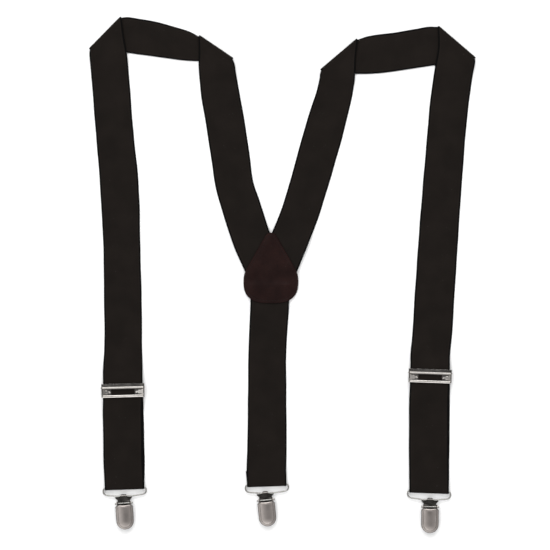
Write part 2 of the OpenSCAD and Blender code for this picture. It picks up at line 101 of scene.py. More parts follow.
# Rulings: [x, y] of the a edge, [x, y] of the b edge, and the height of the webbing's middle
back_run = {
    "left": [
        ([246, -274], [283, -261], mid_patch),
        ([233, -244.5], [269.5, -231.5], mid_patch),
        ([222.5, -211.5], [259.5, -200], mid_table),
        ([217, -193], [254, -184.5], mid_table),
        ([212, -164], [250, -158], mid_table),
        ([206, -125], [244.5, -121], mid_table),
        ([201.2, -95], [240, -95], mid_table),
    ],
    "right": [
        ([297, -272], [260, -257.5], mid_patch_over),
        ([308, -245], [272.5, -231.5], mid_patch_over),
        ([316.5, -223], [280, -213], mid_table),
        ([324.5, -198], [288, -188], mid_table),
        ([333, -170], [296, -159.5], mid_table),
        ([343.5, -133], [306.5, -122.5], mid_table),
        ([350.4, -104], [312.2, -104], mid_table),
    ],
}
shoulder_in = {
    "left": [
        ([200, -84], [238, -84], mid_table),
        ([198.7, -66], [236, -73], mid_crossing),
        ([199, -50], [234.6, -64], mid_crossing),
    ],
    "right": [
        ([353, -91], [316.5, -91], mid_table),
        ([355, -76], [319.6, -78], mid_crossing),
        ([355.8, -56], [319.8, -74.5], mid_crossing),
    ],
}
inner_fold = {
    "left": ([199.5, -35], [233.5, -58]),
    "right": ([356.5, -38.5], [320, -69.5]),
}
shoulder_across = {
    "left": [
        ([190, -31.8], [212, -60.8], mid_table),
        ([175, -27], [190, -61], mid_table),
        ([160, -22.9], [166, -58.3], mid_table),
        ([140, -19], [138, -54.4], mid_table),
        ([128, -17.2], [112, -50.8], mid_table),
    ],
    "right": [
        ([366, -36.7], [342, -73.3], mid_table),
        ([380, -34.3], [370, -73.9], mid_table),
        ([398, -32.2], [400, -70.7], mid_table),
        ([416, -29], [424, -67], mid_table),
        ([428, -26.8], [452, -62.5], mid_table),
    ],
}
outer_fold = {
    "left": ([120.5, -16.4], [89, -48.4]),
    "right": ([438.5, -25.6], [475.7, -57.5]),
}
shoulder_out = {
    "left": [
        ([124, -36], [89.6, -54], mid_crossing),
        ([127.3, -56], [90, -61], mid_crossing),
        ([128.7, -72], [91, -72], mid_table + 0.5),
        ([129.7, -85], [92, -85], mid_table),
    ],
    "right": [
        ([438, -45], [475, -62], mid_crossing),
        ([435.4, -64], [474, -68.5], mid_crossing),
        ([433.4, -77], [472.4, -77], mid_table + 0.5),
        ([432, -87], [471, -87], mid_table),
    ],
}
front_run = {
    "left": [
        ([131.6, -110], [94, -110], mid_table),
        ([134.3, -140], [96.5, -140], mid_table),
        ([137.5, -170], [99, -170], mid_table),
        ([139.3, -200], [100.8, -200], mid_table),
        ([140.4, -245], [103.4, -245], mid_table),
        ([141.6, -300], [103.9, -300], mid_table),
        ([142.3, -350], [104.3, -350], mid_table),
    ],
    "right": [
        ([429.3, -110], [468.1, -110], mid_table),
        ([426.6, -140], [465, -140], mid_table),
        ([424, -170], [462.8, -170], mid_table),
        ([421.7, -200], [460.7, -200], mid_table),
        ([418, -245], [457.6, -245], mid_table),
        ([414.4, -300], [454.2, -300], mid_table),
        ([412, -338], [451.8, -338], mid_table),
    ],
}


def unit(v):
    return v / np.linalg.norm(v)


def turned(point, degrees):
    c, s = math.cos(math.radians(degrees)), math.sin(math.radians(degrees))
    return np.array([point[0] * c - point[1] * s, point[0] * s + point[1] * c])


def run(rows):
    return [np.array([[*a, z], [*b, z]], float) for a, b, z in rows]


def fold(line, inward_to, steps=10):
    """Rulings of the webbing as it bends under a fold line, from the table up to the layer over it."""
    a, b = (np.array(p, float) for p in line)
    across = unit(b - a)
    inward = np.array(inward_to, float) - a
    square_in = unit(inward - across * (inward @ across))
    rulings = []
    for i in range(steps + 1):
        turn = math.pi * i / steps
        back = webbing_t / 2 + fold_r * (1 - math.sin(turn))
        height = mid_table + fold_r * (1 - math.cos(turn))
        rulings.append(np.array([[*(p + square_in * back), height] for p in (a, b)]))
    return rulings


def square_ruling(side, middle, degrees, z):
    half = side_sign[side] * loop_w / 2
    return np.array([[*(middle + turned([u, 0], degrees)), z] for u in (half, -half)])


def round_bar(side, middle, degrees, z, r, sign, steps=10):
    """Rulings round a bar under the webbing, from above it to below it when sign is 1."""
    rulings = []
    for i in range(steps + 1):
        turn = math.pi * i / steps
        place = middle + turned([0, -sign * r * math.sin(turn)], degrees)
        rulings.append(square_ruling(side, place, degrees, z + sign * r * math.cos(turn)))
    return rulings


def course(rulings, step=1.8):
    """Close rulings along a strap, smooth in plan, with no dip between two rulings of one height."""
    points = np.array(rulings).reshape(len(rulings), 6)
    gaps = np.diff(points, axis=0)
    chord = (np.linalg.norm(gaps[:, :3], axis=1) + np.linalg.norm(gaps[:, 3:], axis=1)) / 2
    slope = gaps / chord[:, None]
    tangent = np.vstack([slope[:1], slope])
    before, after = chord[:-1, None], chord[1:, None]
    tangent[1:-1] = (slope[:-1] * after + slope[1:] * before) / (before + after)
    heights = [2, 5]
    product = slope[:-1, heights] * slope[1:, heights]
    total = slope[:-1, heights] + slope[1:, heights]
    level = product <= 0
    tangent[1:-1, heights] = np.where(level, 0, 2 * product / np.where(level, 1, total))
    leaving, arriving = tangent[:-1].copy(), tangent[1:].copy()
    plan = [0, 1, 3, 4]
    bend_ratio = 4
    for i in range(1, len(chord)):
        if chord[i] > bend_ratio * chord[i - 1]:
            leaving[i, plan] = 1.5 * slope[i, plan] - 0.5 * arriving[i, plan]
            arriving[i - 1, plan] = slope[i - 1, plan]
        elif chord[i - 1] > bend_ratio * chord[i]:
            arriving[i - 1, plan] = 1.5 * slope[i - 1, plan] - 0.5 * leaving[i - 1, plan]
            leaving[i, plan] = slope[i, plan]
    rows, marks = [], []
    for i, length in enumerate(chord):
        marks.append(len(rows))
        count = max(1, math.ceil(length / step))
        for s in np.arange(count) / count:
            rows.append(
                points[i] * (2 * s**3 - 3 * s**2 + 1)
                + leaving[i] * length * (s**3 - 2 * s**2 + s)
                + points[i + 1] * (3 * s**2 - 2 * s**3)
                + arriving[i] * length * (s**3 - s**2)
            )
    marks.append(len(rows))
    rows = np.array([*rows, points[-1]])
    a, b = rows[:, :3], rows[:, 3:]
    middle = (a + b) / 2
    normal = np.cross(b - a, np.gradient(middle, axis=0))
    along = np.concatenate([[0], np.cumsum(np.linalg.norm(np.diff(middle, axis=0), axis=1))])
    across = (b - a) / np.linalg.norm(b - a, axis=1)[:, None]
    wander = 0.12 * np.sin(along / 17) + 0.08 * np.sin(along / 6.1 + 1)
    return {
        "a": a + across * wander[:, None],
        "b": b + across * wander[:, None] * 0.7,
        "normal": normal / np.linalg.norm(normal, axis=1)[:, None],
        "along": along,
        "marks": marks,
    }


def on_adjuster(side, v):
    """A place on an adjuster's middle line, v along the strap from its middle."""
    return adjuster_at[side] + turned([0, v], adjuster_turn[side])


def end_rulings(side):
    """Down from the adjuster, round the bail, up behind and round the adjuster's rear bar into the hem."""
    reach = np.linalg.norm(adjuster_at[side] - end_at[side])

    def layer(places, shift):
        """Rulings at distances from the bail, with heights and shares of a sideways shift."""
        rulings = []
        for distance, z, share in places:
            s = distance / reach
            degrees = end_turn[side] + (adjuster_turn[side] - end_turn[side]) * s
            middle = end_at[side] + (adjuster_at[side] - end_at[side]) * s
            rulings.append(square_ruling(side, middle + turned([shift * share, 0], degrees), degrees, z))
        return rulings

    hem_end = reach + rear_bar_v - hem_l
    climb = [(reach + adjuster_h / 2 + 14, 2.2, 0), (reach + adjuster_h / 2 + 4, mid_adjuster - 0.3, 0)]
    down = [
        (reach + strap_seam_v, mid_adjuster, 0), (reach - 8, mid_adjuster, 0.5),
        (hem_end, mid_second + webbing_t + 0.3, 1), (hem_end - 14, mid_second, 1),
        (reach / 2, mid_second, 1), (20, mid_second, 0.8), (10, mid_second + 0.5, 0.4),
    ]
    up = [(20, mid_table, 0.8), (reach / 2, mid_table, 1), (reach - 12, mid_table, 0.6)]
    hem = [(reach - 8, mid_table + 2 * hem_loop_r, 0.4), (hem_end, mid_table + webbing_t + 0.15, 0.8)]
    return layer(climb, 0), [
        *layer(down, front_layer_shift[side]),
        *round_bar(side, end_at[side], end_turn[side], bar_z, loop_r, 1),
        *layer(up, rear_layer_shift[side]),
        *round_bar(side, on_adjuster(side, rear_bar_v), adjuster_turn[side], hem_bar_z, hem_loop_r, -1),
        *layer(hem, rear_layer_shift[side]),
    ]


def linked(tree, socket, value):
    """Sets a socket, or links it when the value is another node's output."""
    if isinstance(value, bpy.types.NodeSocket):
        tree.links.new(value, socket)
    else:
        socket.default_value = value


def add(tree, kind, inputs=None, **settings):
    """A new node of a tree, with its settings, and its inputs by name or place."""
    made = tree.nodes.new(kind)
    for name, value in settings.items():
        setattr(made, name, value)
    for name, value in (inputs or {}).items():
        linked(tree, made.inputs[name], value)
    return made


def calc(tree, operation, *values, clamp=False):
    made = tree.nodes.new("ShaderNodeMath")
    made.operation = operation
    made.use_clamp = clamp
    for socket, value in zip(made.inputs, values):
        linked(tree, socket, value)
    return made.outputs[0]


def mixed(tree, factor, a, b, blend_type="MIX"):
    """A colour between a and b."""
    made = add(tree, "ShaderNodeMix", data_type="RGBA", blend_type=blend_type)
    for place, value in ((0, factor), (6, a), (7, b)):
        linked(tree, made.inputs[place], value)
    return made.outputs[2]


def spread(tree, value, low, high, to_low=0.0, to_high=1.0):
    """A value between low and high taken to between to_low and to_high, and held there outside them."""
    inputs = {"Value": value, "From Min": low, "From Max": high, "To Min": to_low, "To Max": to_high}
    return add(tree, "ShaderNodeMapRange", inputs).outputs[0]


def noise(tree, vector, scale, detail=3.0, roughness=0.55):
    inputs = {"Vector": vector, "Scale": scale, "Detail": detail, "Roughness": roughness}
    return add(tree, "ShaderNodeTexNoise", inputs).outputs[0]


def effect_group(name, inputs, outputs):
    """A shader node group with named sockets, and its two end nodes."""
    tree = bpy.data.node_groups.new(name, "ShaderNodeTree")
    for socket, kind, value in inputs:
        made = tree.interface.new_socket(socket, in_out="INPUT", socket_type=kind)
        if value is not None:
            made.default_value = value
    for socket, kind in outputs:
        tree.interface.new_socket(socket, in_out="OUTPUT", socket_type=kind)
    return tree, tree.nodes.new("NodeGroupInput"), tree.nodes.new("NodeGroupOutput")


def use_group(tree, group, inputs):
    made = tree.nodes.new("ShaderNodeGroup")
    made.node_tree = group
    for name, value in inputs.items():
        linked(tree, made.inputs[name], value)
    return made


def new_material(name, **principled):
    """A material with its Principled BSDF set, and a Bump that feeds its Normal."""
    material = bpy.data.materials.new(name)
    material.use_nodes = True
    tree = material.node_tree
    shader = tree.nodes["Principled BSDF"]
    for socket, value in principled.items():
        shader.inputs[socket.replace("_", " ").title().replace("Ior", "IOR")].default_value = value
    bump = tree.nodes.new("ShaderNodeBump")
    tree.links.new(bump.outputs[0], shader.inputs["Normal"])
    return material, tree, shader, bump


def lint_group():
    """Fine fibres and pale specks that cling to cloth and leather."""
    tree, start, end = effect_group(
        "lint",
        [("Vector", "NodeSocketVector", None), ("Fibre Scale", "NodeSocketFloat", 1500.0),
         ("Speck Scale", "NodeSocketFloat", 420.0)],
        [("Fibres", "NodeSocketFloat"), ("Specks", "NodeSocketFloat")],
    )
    fibres = noise(tree, start.outputs["Vector"], start.outputs["Fibre Scale"], detail=4, roughness=0.7)
    speck_inputs = {"Vector": start.outputs["Vector"], "Scale": start.outputs["Speck Scale"]}
    cells = add(tree, "ShaderNodeTexVoronoi", speck_inputs).outputs["Distance"]
    rare = noise(tree, start.outputs["Vector"], 90.0, detail=1)
    specks = calc(tree, "MULTIPLY", spread(tree, cells, 0.12, 0.05), spread(tree, rare, 0.60, 0.66))
    tree.links.new(fibres, end.inputs["Fibres"])
    tree.links.new(specks, end.inputs["Specks"])
    return tree


def weave_group():
    """Ribs across the webbing, staggered from one lengthwise cord to the next."""
    tree, start, end = effect_group(
        "ribbed_weave",
        [("Vector", "NodeSocketVector", None), ("Rib Pitch", "NodeSocketFloat", 0.0011),
         ("Cord Pitch", "NodeSocketFloat", 0.0009)],
        [("Height", "NodeSocketFloat"), ("Cord", "NodeSocketFloat")],
    )
    part = add(tree, "ShaderNodeSeparateXYZ", {"Vector": start.outputs["Vector"]})
    cord = calc(tree, "DIVIDE", part.outputs["X"], start.outputs["Cord Pitch"])
    stagger = calc(tree, "MULTIPLY", calc(tree, "FLOOR", cord), 0.5)
    rib = calc(tree, "ADD", calc(tree, "DIVIDE", part.outputs["Y"], start.outputs["Rib Pitch"]), stagger)
    rib_wave = calc(tree, "ABSOLUTE", calc(tree, "SINE", calc(tree, "MULTIPLY", rib, math.pi)))
    cord_wave = calc(tree, "ABSOLUTE", calc(tree, "SINE", calc(tree, "MULTIPLY", cord, math.pi)))
    cord_height = calc(tree, "MULTIPLY_ADD", cord_wave, 0.6, 0.4)
    height = calc(tree, "MULTIPLY", calc(tree, "POWER", rib_wave, 0.7), cord_height)
    tree.links.new(height, end.inputs["Height"])
    tree.links.new(cord_wave, end.inputs["Cord"])
    return tree


lint = lint_group()
weave = weave_group()


def webbing_material():
    """Black elastic webbing, faintly warm, with painted shade darkening its selvedges, a lighter line just
    inside each, and painted light and shade on its ribs.
    """
    black = (0.0056, 0.0042, 0.0034, 1)
    lit_rib_and_mottle_black = (0.0104, 0.0078, 0.0064, 1)
    selvedge_shade_black = (0.0008, 0.0007, 0.0007, 1)
    lint_grey = (0.10, 0.095, 0.09, 1)
    material, tree, shader, bump = new_material(
        "webbing", roughness=0.82, specular_ior_level=0.07, sheen_weight=0.01, sheen_roughness=0.45
    )
    surface = add(tree, "ShaderNodeUVMap", uv_map="strip").outputs[0]
    ribs = use_group(tree, weave, {"Vector": surface, "Rib Pitch": 0.0011, "Cord Pitch": 0.00095})
    fuzz = use_group(tree, lint, {"Vector": surface, "Fibre Scale": 1700.0, "Speck Scale": 430.0})
    across = add(tree, "ShaderNodeSeparateXYZ", {"Vector": surface}).outputs["X"]
    from_edge = calc(tree, "SUBTRACT", webbing_w / 2 * mm,
                     calc(tree, "ABSOLUTE", calc(tree, "SUBTRACT", across, webbing_w / 2 * mm)))
    # Painted shade: the webbing is darkened towards black within about 1.9 mm of each edge, with a lighter
    # line 1.6 to 3 mm in.
    selvedge = spread(tree, from_edge, 1.9 * mm, 1.4 * mm)
    inner_line = calc(tree, "MULTIPLY", spread(tree, from_edge, 1.6 * mm, 2.1 * mm),
                      spread(tree, from_edge, 3.0 * mm, 2.4 * mm))
    mottle = noise(tree, surface, 38.0, detail=2)
    # Painted light and shade: the rib height makes the rib tops lighter and the grooves between the ribs
    # darker; the mottle adds random tone.
    tone = calc(tree, "ADD", calc(tree, "MULTIPLY", ribs.outputs["Height"], 0.30),
                calc(tree, "ADD", spread(tree, mottle, 0.35, 0.65, 0.0, 0.45),
                     calc(tree, "MULTIPLY", inner_line, 0.35)), clamp=True)
    colour = mixed(tree, tone, black, lit_rib_and_mottle_black)
    # Painted shade along the selvedges.
    colour = mixed(tree, selvedge, colour, selvedge_shade_black)
    colour = mixed(tree, calc(tree, "MULTIPLY", fuzz.outputs["Specks"], 0.5), colour, lint_grey)
    tree.links.new(colour, shader.inputs["Base Color"])
    rough = spread(tree, fuzz.outputs["Fibres"], 0.3, 0.7, 0.74, 0.92)
    tree.links.new(rough, shader.inputs["Roughness"])
    height = calc(tree, "ADD", calc(tree, "MULTIPLY", ribs.outputs["Height"], 0.8),
                  calc(tree, "MULTIPLY", fuzz.outputs["Fibres"], 0.35))
    linked(tree, bump.inputs["Height"], height)
    bump.inputs["Strength"].default_value = 0.55
    bump.inputs["Distance"].default_value = 0.00018
    return material


webbing = webbing_material()

# Half of the webbing's section: distance in from the selvedge, and height over the middle
selvedge_profile = [(0.0, 0.0), (0.10, 0.34), (0.38, 0.53), (0.85, 0.60), (1.45, 0.49), (2.05, 0.57)]
body_h = 0.58


def section_points():
    """Points round the webbing's section: share of the width, distance along it, and height."""
    near = [(0, d, h) for d, h in selvedge_profile]
    far = [(1, -d, h) for d, h in reversed(selvedge_profile)]
    top = near + [(share, 0, body_h) for share in (0.25, 0.5, 0.75)] + far
    below = [(share, d, -h) for share, d, h in reversed(top[1:-1])]
    return top + below


def webbing_piece(name, strap, first, last):
    """A closed strip of webbing between two stations of a strap, with its strip UV in metres."""
    a, b = strap["a"][first:last + 1], strap["b"][first:last + 1]
    normal, along = strap["normal"][first:last + 1], strap["along"][first:last + 1]
    width = np.linalg.norm(b - a, axis=1)
    across = (b - a) / width[:, None]
    section = section_points()
    ring = len(section)
    rows = []
    strip = []
    for share, distance, height in section:
        in_from_a = share * width + distance
        rows.append(a + across * in_from_a[:, None] + normal * height)
        strip.append(np.stack([in_from_a / width * webbing_w * mm, along * mm], axis=1))
    points = (np.stack(rows, axis=1).reshape(-1, 3) - layout_middle) * mm
    strip = np.stack(strip, axis=1).reshape(-1, 2)
    count = len(a)
    faces = [
        (ring * i + k, ring * i + (k + 1) % ring, ring * (i + 1) + (k + 1) % ring, ring * (i + 1) + k)
        for i in range(count - 1) for k in range(ring)
    ]
    faces.append(tuple(reversed(range(ring))))
    faces.append(tuple(range(ring * (count - 1), ring * count)))
    mesh = bpy.data.meshes.new(name)
    mesh.from_pydata(points.tolist(), [], faces)
    mesh.polygons.foreach_set("use_smooth", [True] * len(mesh.polygons))
    uv = mesh.uv_layers.new(name="strip")
    corners = np.zeros(len(mesh.loops), np.int32)
    mesh.loops.foreach_get("vertex_index", corners)
    uv.data.foreach_set("uv", strip[corners].ravel())
    for edge in mesh.edges:
        low, high = sorted(edge.vertices)
        if high < ring or low >= ring * (count - 1):
            edge.use_edge_sharp = True
    mesh.materials.append(webbing)
    mesh.update()
    made = bpy.data.objects.new(name, mesh)
    bpy.context.scene.collection.objects.link(made)
    return made


def bend(piece):
    """Bakes a piece's place into its mesh."""
    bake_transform(piece)


def bend_end(piece):
    """Bakes a piece of a side strap's looped end into its mesh, as bend does."""
    bend(piece)


straps = {}
for side in ("left", "right"):
    climb, end = end_rulings(side)
    inner = fold(inner_fold[side], shoulder_across[side][2][1])
    outer = fold(outer_fold[side], shoulder_across[side][2][1])
    parts = [
        run(back_run[side]),
        run(shoulder_in[side]) + inner[::-1] + run(shoulder_across[side]) + outer + run(shoulder_out[side]),
        run(front_run[side]) + climb + end[:1],
        end[1:],
    ]
    strap = course([ruling for part in parts for ruling in part])
    counts = np.cumsum([len(part) for part in parts]) - 1
    cut = [0] + [strap["marks"][i] for i in counts]
    names = [f"{side}_strap_{part}" for part in ("back", "shoulder", "front", "end")]
    straps[side] = {"course": strap, "cut": cut}
    shoulder, adjuster = f"{side}_shoulder", f"{side}_adjuster"

    for name, first, last in zip(names, cut[:-1], cut[1:]):
        piece = webbing_piece(name + "_webbing", strap, first, last)
        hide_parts(name)
        if name.endswith("back"):
            bend(piece)
        elif name.endswith("shoulder"):
            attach(piece, shoulder)
        elif name.endswith("front"):
            bend(piece)
        else:
            bend_end(piece)

# ---------------------------------------------------------------------------------------------
# Back strap. The same webbing, sewn into the lower end of the patch. It goes down to the back
# bail, round its bar, and is hemmed back on itself behind.
# ---------------------------------------------------------------------------------------------
back_run_rows = [
    ([289.2, -286], [250.6, -286], mid_patch),
    ([289.1, -304], [250.4, -304], mid_patch),
    ([288.3, -320], [249.8, -320], mid_table),
    ([286.2, -350], [248.4, -350], mid_table),
    ([286.2, -385], [248, -385], mid_table),
    ([286.6, -420], [247.8, -420], mid_table),
    ([286.6, -450], [247.2, -450], mid_table),
]


def back_ruling(v, z, shift=0.0):
    middle = end_at["back"] + turned([shift, v], end_turn["back"])
    return square_ruling("back", middle, end_turn["back"], z)


hem_skew = -0.8
back_course = course([
    *run(back_run_rows),
    back_ruling(hem_l + 1, mid_second), back_ruling(8, mid_second + 0.7),
    *round_bar("back", end_at["back"], end_turn["back"], bar_z, loop_r, 1),
    back_ruling(hem_l, mid_table, hem_skew),
])
back_last = len(back_course["a"]) - 1
back_strap = webbing_piece("back_strap_webbing", back_course, 0, back_last)
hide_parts("back_strap")
bend(back_strap)

# ---------------------------------------------------------------------------------------------
# Back patch. Two teardrops of dark brown, nearly black leather hold the three straps between
# them. The face leather drapes over the straps, with rounded edges, and one seam round it.
# ---------------------------------------------------------------------------------------------
patch_w = 54.8
patch_l = 70.5
leather_t = 1.2
seam_inset = 2.6
patch_bottom_y = -303.2
patch_middle_x = 270.9
belly_above = (26.0, 2.0)
belly_below = (22.6, 2.8)
patch_tip_r = 6.5


def patch_outline(inset, count=200):
    """Even points round the teardrop from its tip leftwards: round over its widest place, squarer below."""
    belly_at = np.array([patch_middle_x, patch_bottom_y + belly_below[0]])
    tip_at = np.array([patch_middle_x, patch_bottom_y + patch_l - patch_tip_r])
    angles = math.pi / 2 + np.linspace(0, 2 * math.pi, 4001)[:-1]
    out = np.stack([np.cos(angles), np.sin(angles)], axis=1)
    half_h, power = (np.where(out[:, 1] > 0, *pair)[:, None] for pair in zip(belly_above, belly_below))
    half = np.hstack([np.full_like(half_h, patch_w / 2), half_h])
    dual = power / (power - 1)
    belly_reach = (np.abs(out * half) ** dual).sum(axis=1, keepdims=True) ** (1 / dual)
    on_belly = belly_at + np.sign(out) * half * (np.abs(out * half) / belly_reach) ** (dual - 1)
    belly_reach = belly_reach[:, 0]
    on_tip = tip_at + out * patch_tip_r
    is_tip = out @ tip_at + patch_tip_r > out @ belly_at + belly_reach
    points = np.where(is_tip[:, None], on_tip, on_belly) - out * inset
    closed = np.vstack([points, points[:1]])
    length = np.concatenate([[0], np.cumsum(np.linalg.norm(np.diff(closed, axis=0), axis=1))])
    places = np.linspace(0, length[-1], count + 1)[:-1]
    return np.stack([np.interp(places, length, closed[:, k]) for k in (0, 1)], axis=1)


def strap_cover(grid_x, grid_y, strap, last):
    """Height of a strap's upper face over a grid of places, and 0 where it isn't there."""
    height = np.zeros_like(grid_x)
    nearest = np.full_like(grid_x, 9.0)
    for i in range(last):
        a, b = strap["a"][i], strap["b"][i]
        across = unit((b - a)[:2])
        from_a = (grid_x - a[0]) * across[0] + (grid_y - a[1]) * across[1]
        off = np.abs(-(grid_x - a[0]) * across[1] + (grid_y - a[1]) * across[0])
        inside = (off < np.minimum(nearest, 1.6)) & (from_a > -0.3) & (from_a < np.linalg.norm(b - a) + 0.3)
        height[inside] = a[2] + webbing_t / 2
        nearest[inside] = off[inside]
    return height


def draped_heights():
    """Underside of the face leather on a grid: it lies on the straps and slopes down beside them."""
    pitch = 0.5
    slope = 0.32
    reach = 9
    xs = np.arange(patch_middle_x - patch_w / 2 - 2, patch_middle_x + patch_w / 2 + 2, pitch)
    ys = np.arange(patch_bottom_y - 2, patch_bottom_y + patch_l + 2, pitch)
    grid_x, grid_y = np.meshgrid(xs, ys, indexing="ij")
    support = np.full_like(grid_x, leather_t)
    for strap, last in (
        (straps["left"]["course"], straps["left"]["course"]["marks"][2]),
        (straps["right"]["course"], straps["right"]["course"]["marks"][2]),
        (back_course, back_course["marks"][2]),
    ):
        support = np.maximum(support, strap_cover(grid_x, grid_y, strap, last))
    padded = np.pad(support, int(reach / pitch), constant_values=leather_t)
    draped = support.copy()
    cells = int(reach / pitch)
    for dx in range(-cells, cells + 1):
        for dy in range(-cells, cells + 1):
            drop = slope * pitch * math.hypot(dx, dy)
            moved = padded[cells + dx:cells + dx + len(xs), cells + dy:cells + dy + len(ys)]
            draped = np.maximum(draped, moved - drop)
    for passes, kept in ((40, 0.02), (12, 0.0)):
        for _ in range(passes):
            wide = np.pad(draped, 1, mode="edge")
            draped = (wide[:-2, 1:-1] + wide[2:, 1:-1] + wide[1:-1, :-2] + wide[1:-1, 2:] + 4 * draped) / 8
        draped = np.maximum(draped, support + kept)
    return xs, ys, draped + 0.06


def sample_heights(field, points):
    xs, ys, heights = field
    fx = np.clip((points[:, 0] - xs[0]) / (xs[1] - xs[0]), 0, len(xs) - 1.001)
    fy = np.clip((points[:, 1] - ys[0]) / (ys[1] - ys[0]), 0, len(ys) - 1.001)
    i, j = fx.astype(int), fy.astype(int)
    s, t = fx - i, fy - j
    return (
        heights[i, j] * (1 - s) * (1 - t) + heights[i + 1, j] * s * (1 - t)
        + heights[i, j + 1] * (1 - s) * t + heights[i + 1, j + 1] * s * t
    )


def leather_piece(name, material, under_heights, seam_depth):
    """A teardrop of leather of even thickness over the given heights, with a rounded edge."""
    edge_r = leather_t / 2
    turns = np.radians([90, 60, 30, 0, -30, -60, -90])
    rim = [(edge_r * (1 - math.cos(t)), edge_r * (1 + math.sin(t))) for t in turns]
    near = [0.9, 1.4, 1.9, 2.25, seam_inset, 2.95, 3.4]
    deep = np.linspace(0, 1, 13)[1:]
    last_near = patch_outline(near[-1])
    spine = np.stack([
        np.full(len(last_near), patch_middle_x), np.clip(last_near[:, 1], patch_bottom_y + 22, -247),
    ], axis=1)
    flat_rings = [(patch_outline(inset), inset) for inset in near]
    flat_rings += [(last_near + (spine - last_near) * s, near[-1] + 20 * s) for s in deep]

    def ring_points(places, over):
        return np.column_stack([places, sample_heights(under_heights, places) + over])

    def groove(inset):
        return seam_depth * math.exp(-(((inset - seam_inset) / 0.35) ** 2))

    rings = [ring_points(p, leather_t - groove(i)) for p, i in reversed(flat_rings)]
    rings += [ring_points(patch_outline(inset), over) for inset, over in rim]
    rings += [ring_points(p, groove(i) * 0.5) for p, i in flat_rings]
    count = len(last_near)
    points = (np.vstack(rings) - layout_middle) * mm
    faces = [
        (count * i + k, count * (i + 1) + k, count * (i + 1) + (k + 1) % count, count * i + (k + 1) % count)
        for i in range(len(rings) - 1) for k in range(count)
    ]
    mesh = bpy.data.meshes.new(name)
    mesh.from_pydata(points.tolist(), [], faces)
    shape = bmesh.new()
    shape.from_mesh(mesh)
    bmesh.ops.remove_doubles(shape, verts=shape.verts, dist=0.02 * mm)
    bmesh.ops.recalc_face_normals(shape, faces=shape.faces)
    shape.to_mesh(mesh)
    shape.free()
    mesh.polygons.foreach_set("use_smooth", [True] * len(mesh.polygons))
    mesh.materials.append(material)
    made = bpy.data.objects.new(name, mesh)
    bpy.context.scene.collection.objects.link(made)
    return made


def grain_group():
    """Leather grain: small uneven pebbles with creases between them, and finer pores."""
    tree, start, end = effect_group(
        "leather_grain",
        [("Vector", "NodeSocketVector", None), ("Pebble Scale", "NodeSocketFloat", 900.0)],
        [("Height", "NodeSocketFloat"), ("Crease", "NodeSocketFloat")],
    )
    vector, scale = start.outputs["Vector"], start.outputs["Pebble Scale"]
    bent = add(tree, "ShaderNodeVectorMath", {
        0: vector,
        1: add(tree, "ShaderNodeVectorMath", {
            0: add(tree, "ShaderNodeTexNoise", {"Vector": vector, "Scale": 500.0}).outputs["Color"],
            "Scale": 0.0006,
        }, operation="SCALE").outputs[0],
    }, operation="ADD").outputs[0]
    cells = add(tree, "ShaderNodeTexVoronoi", {"Vector": bent, "Scale": scale},
                feature="DISTANCE_TO_EDGE").outputs["Distance"]
    pebble = spread(tree, cells, 0.0, 0.35)
    pores = noise(tree, vector, 2600.0, detail=2)
    height = calc(tree, "ADD", calc(tree, "MULTIPLY", pebble, 0.8), calc(tree, "MULTIPLY", pores, 0.25))
    tree.links.new(height, end.inputs["Height"])
    tree.links.new(spread(tree, cells, 0.16, 0.0), end.inputs["Crease"])
    return tree


grain = grain_group()


def leather_material(name, dark, light, rough, pebble_scale):
    crease_shade_black = (0.004, 0.003, 0.003, 1)
    dust_grey = (0.09, 0.08, 0.075, 1)
    material, tree, shader, bump = new_material(name, specular_ior_level=0.06)
    place = add(tree, "ShaderNodeTexCoord").outputs["Object"]
    skin = use_group(tree, grain, {"Vector": place, "Pebble Scale": pebble_scale})
    fuzz = use_group(tree, lint, {"Vector": place, "Fibre Scale": 1500.0, "Speck Scale": 380.0})
    mottle = spread(tree, noise(tree, place, 60.0, detail=3), 0.35, 0.68)
    colour = mixed(tree, mottle, dark, light)
    # Painted shade: the creases between the grain's pebbles are darkened.
    colour = mixed(tree, calc(tree, "MULTIPLY", skin.outputs["Crease"], 0.5), colour, crease_shade_black)
    colour = mixed(tree, calc(tree, "MULTIPLY", fuzz.outputs["Specks"], 0.35), colour, dust_grey)
    tree.links.new(colour, shader.inputs["Base Color"])
    tree.links.new(spread(tree, mottle, 0.0, 1.0, rough + 0.06, rough - 0.08), shader.inputs["Roughness"])
    linked(tree, bump.inputs["Height"], skin.outputs["Height"])
    bump.inputs["Strength"].default_value = 0.5
    bump.inputs["Distance"].default_value = 0.00016
    return material


face_leather = leather_material(
    "face_leather", (0.0088, 0.0028, 0.0024, 1), (0.0152, 0.0054, 0.0045, 1), 0.58, 950.0
)
lining_leather = leather_material(
    "lining_leather", (0.0150, 0.0085, 0.0075, 1), (0.0300, 0.0180, 0.0155, 1), 0.72, 1500.0
)

drape = draped_heights()
level = (drape[0], drape[1], np.zeros_like(drape[2]))
patch_area = patch_outline(0)
patch_area = 0.5 * abs(np.sum(
    patch_area[:, 0] * np.roll(patch_area[:, 1], -1) - np.roll(patch_area[:, 0], -1) * patch_area[:, 1]
)) * mm * mm
patch_face = leather_piece("patch_face", face_leather, drape, 0.16)
patch_lining = leather_piece("patch_lining", lining_leather, level, 0.08)
for piece, node, under in (
    (patch_face, "patch_leather", "patch_backing"), (patch_lining, "patch_backing", "table"),
):
    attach(piece, "root")
    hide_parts(node)

# ---------------------------------------------------------------------------------------------
# Stitching. Black waxed thread: one seam round the patch, on both faces, and lines across the
# hems behind the adjusters and above the back bail.
# ---------------------------------------------------------------------------------------------
thread_r = 0.2


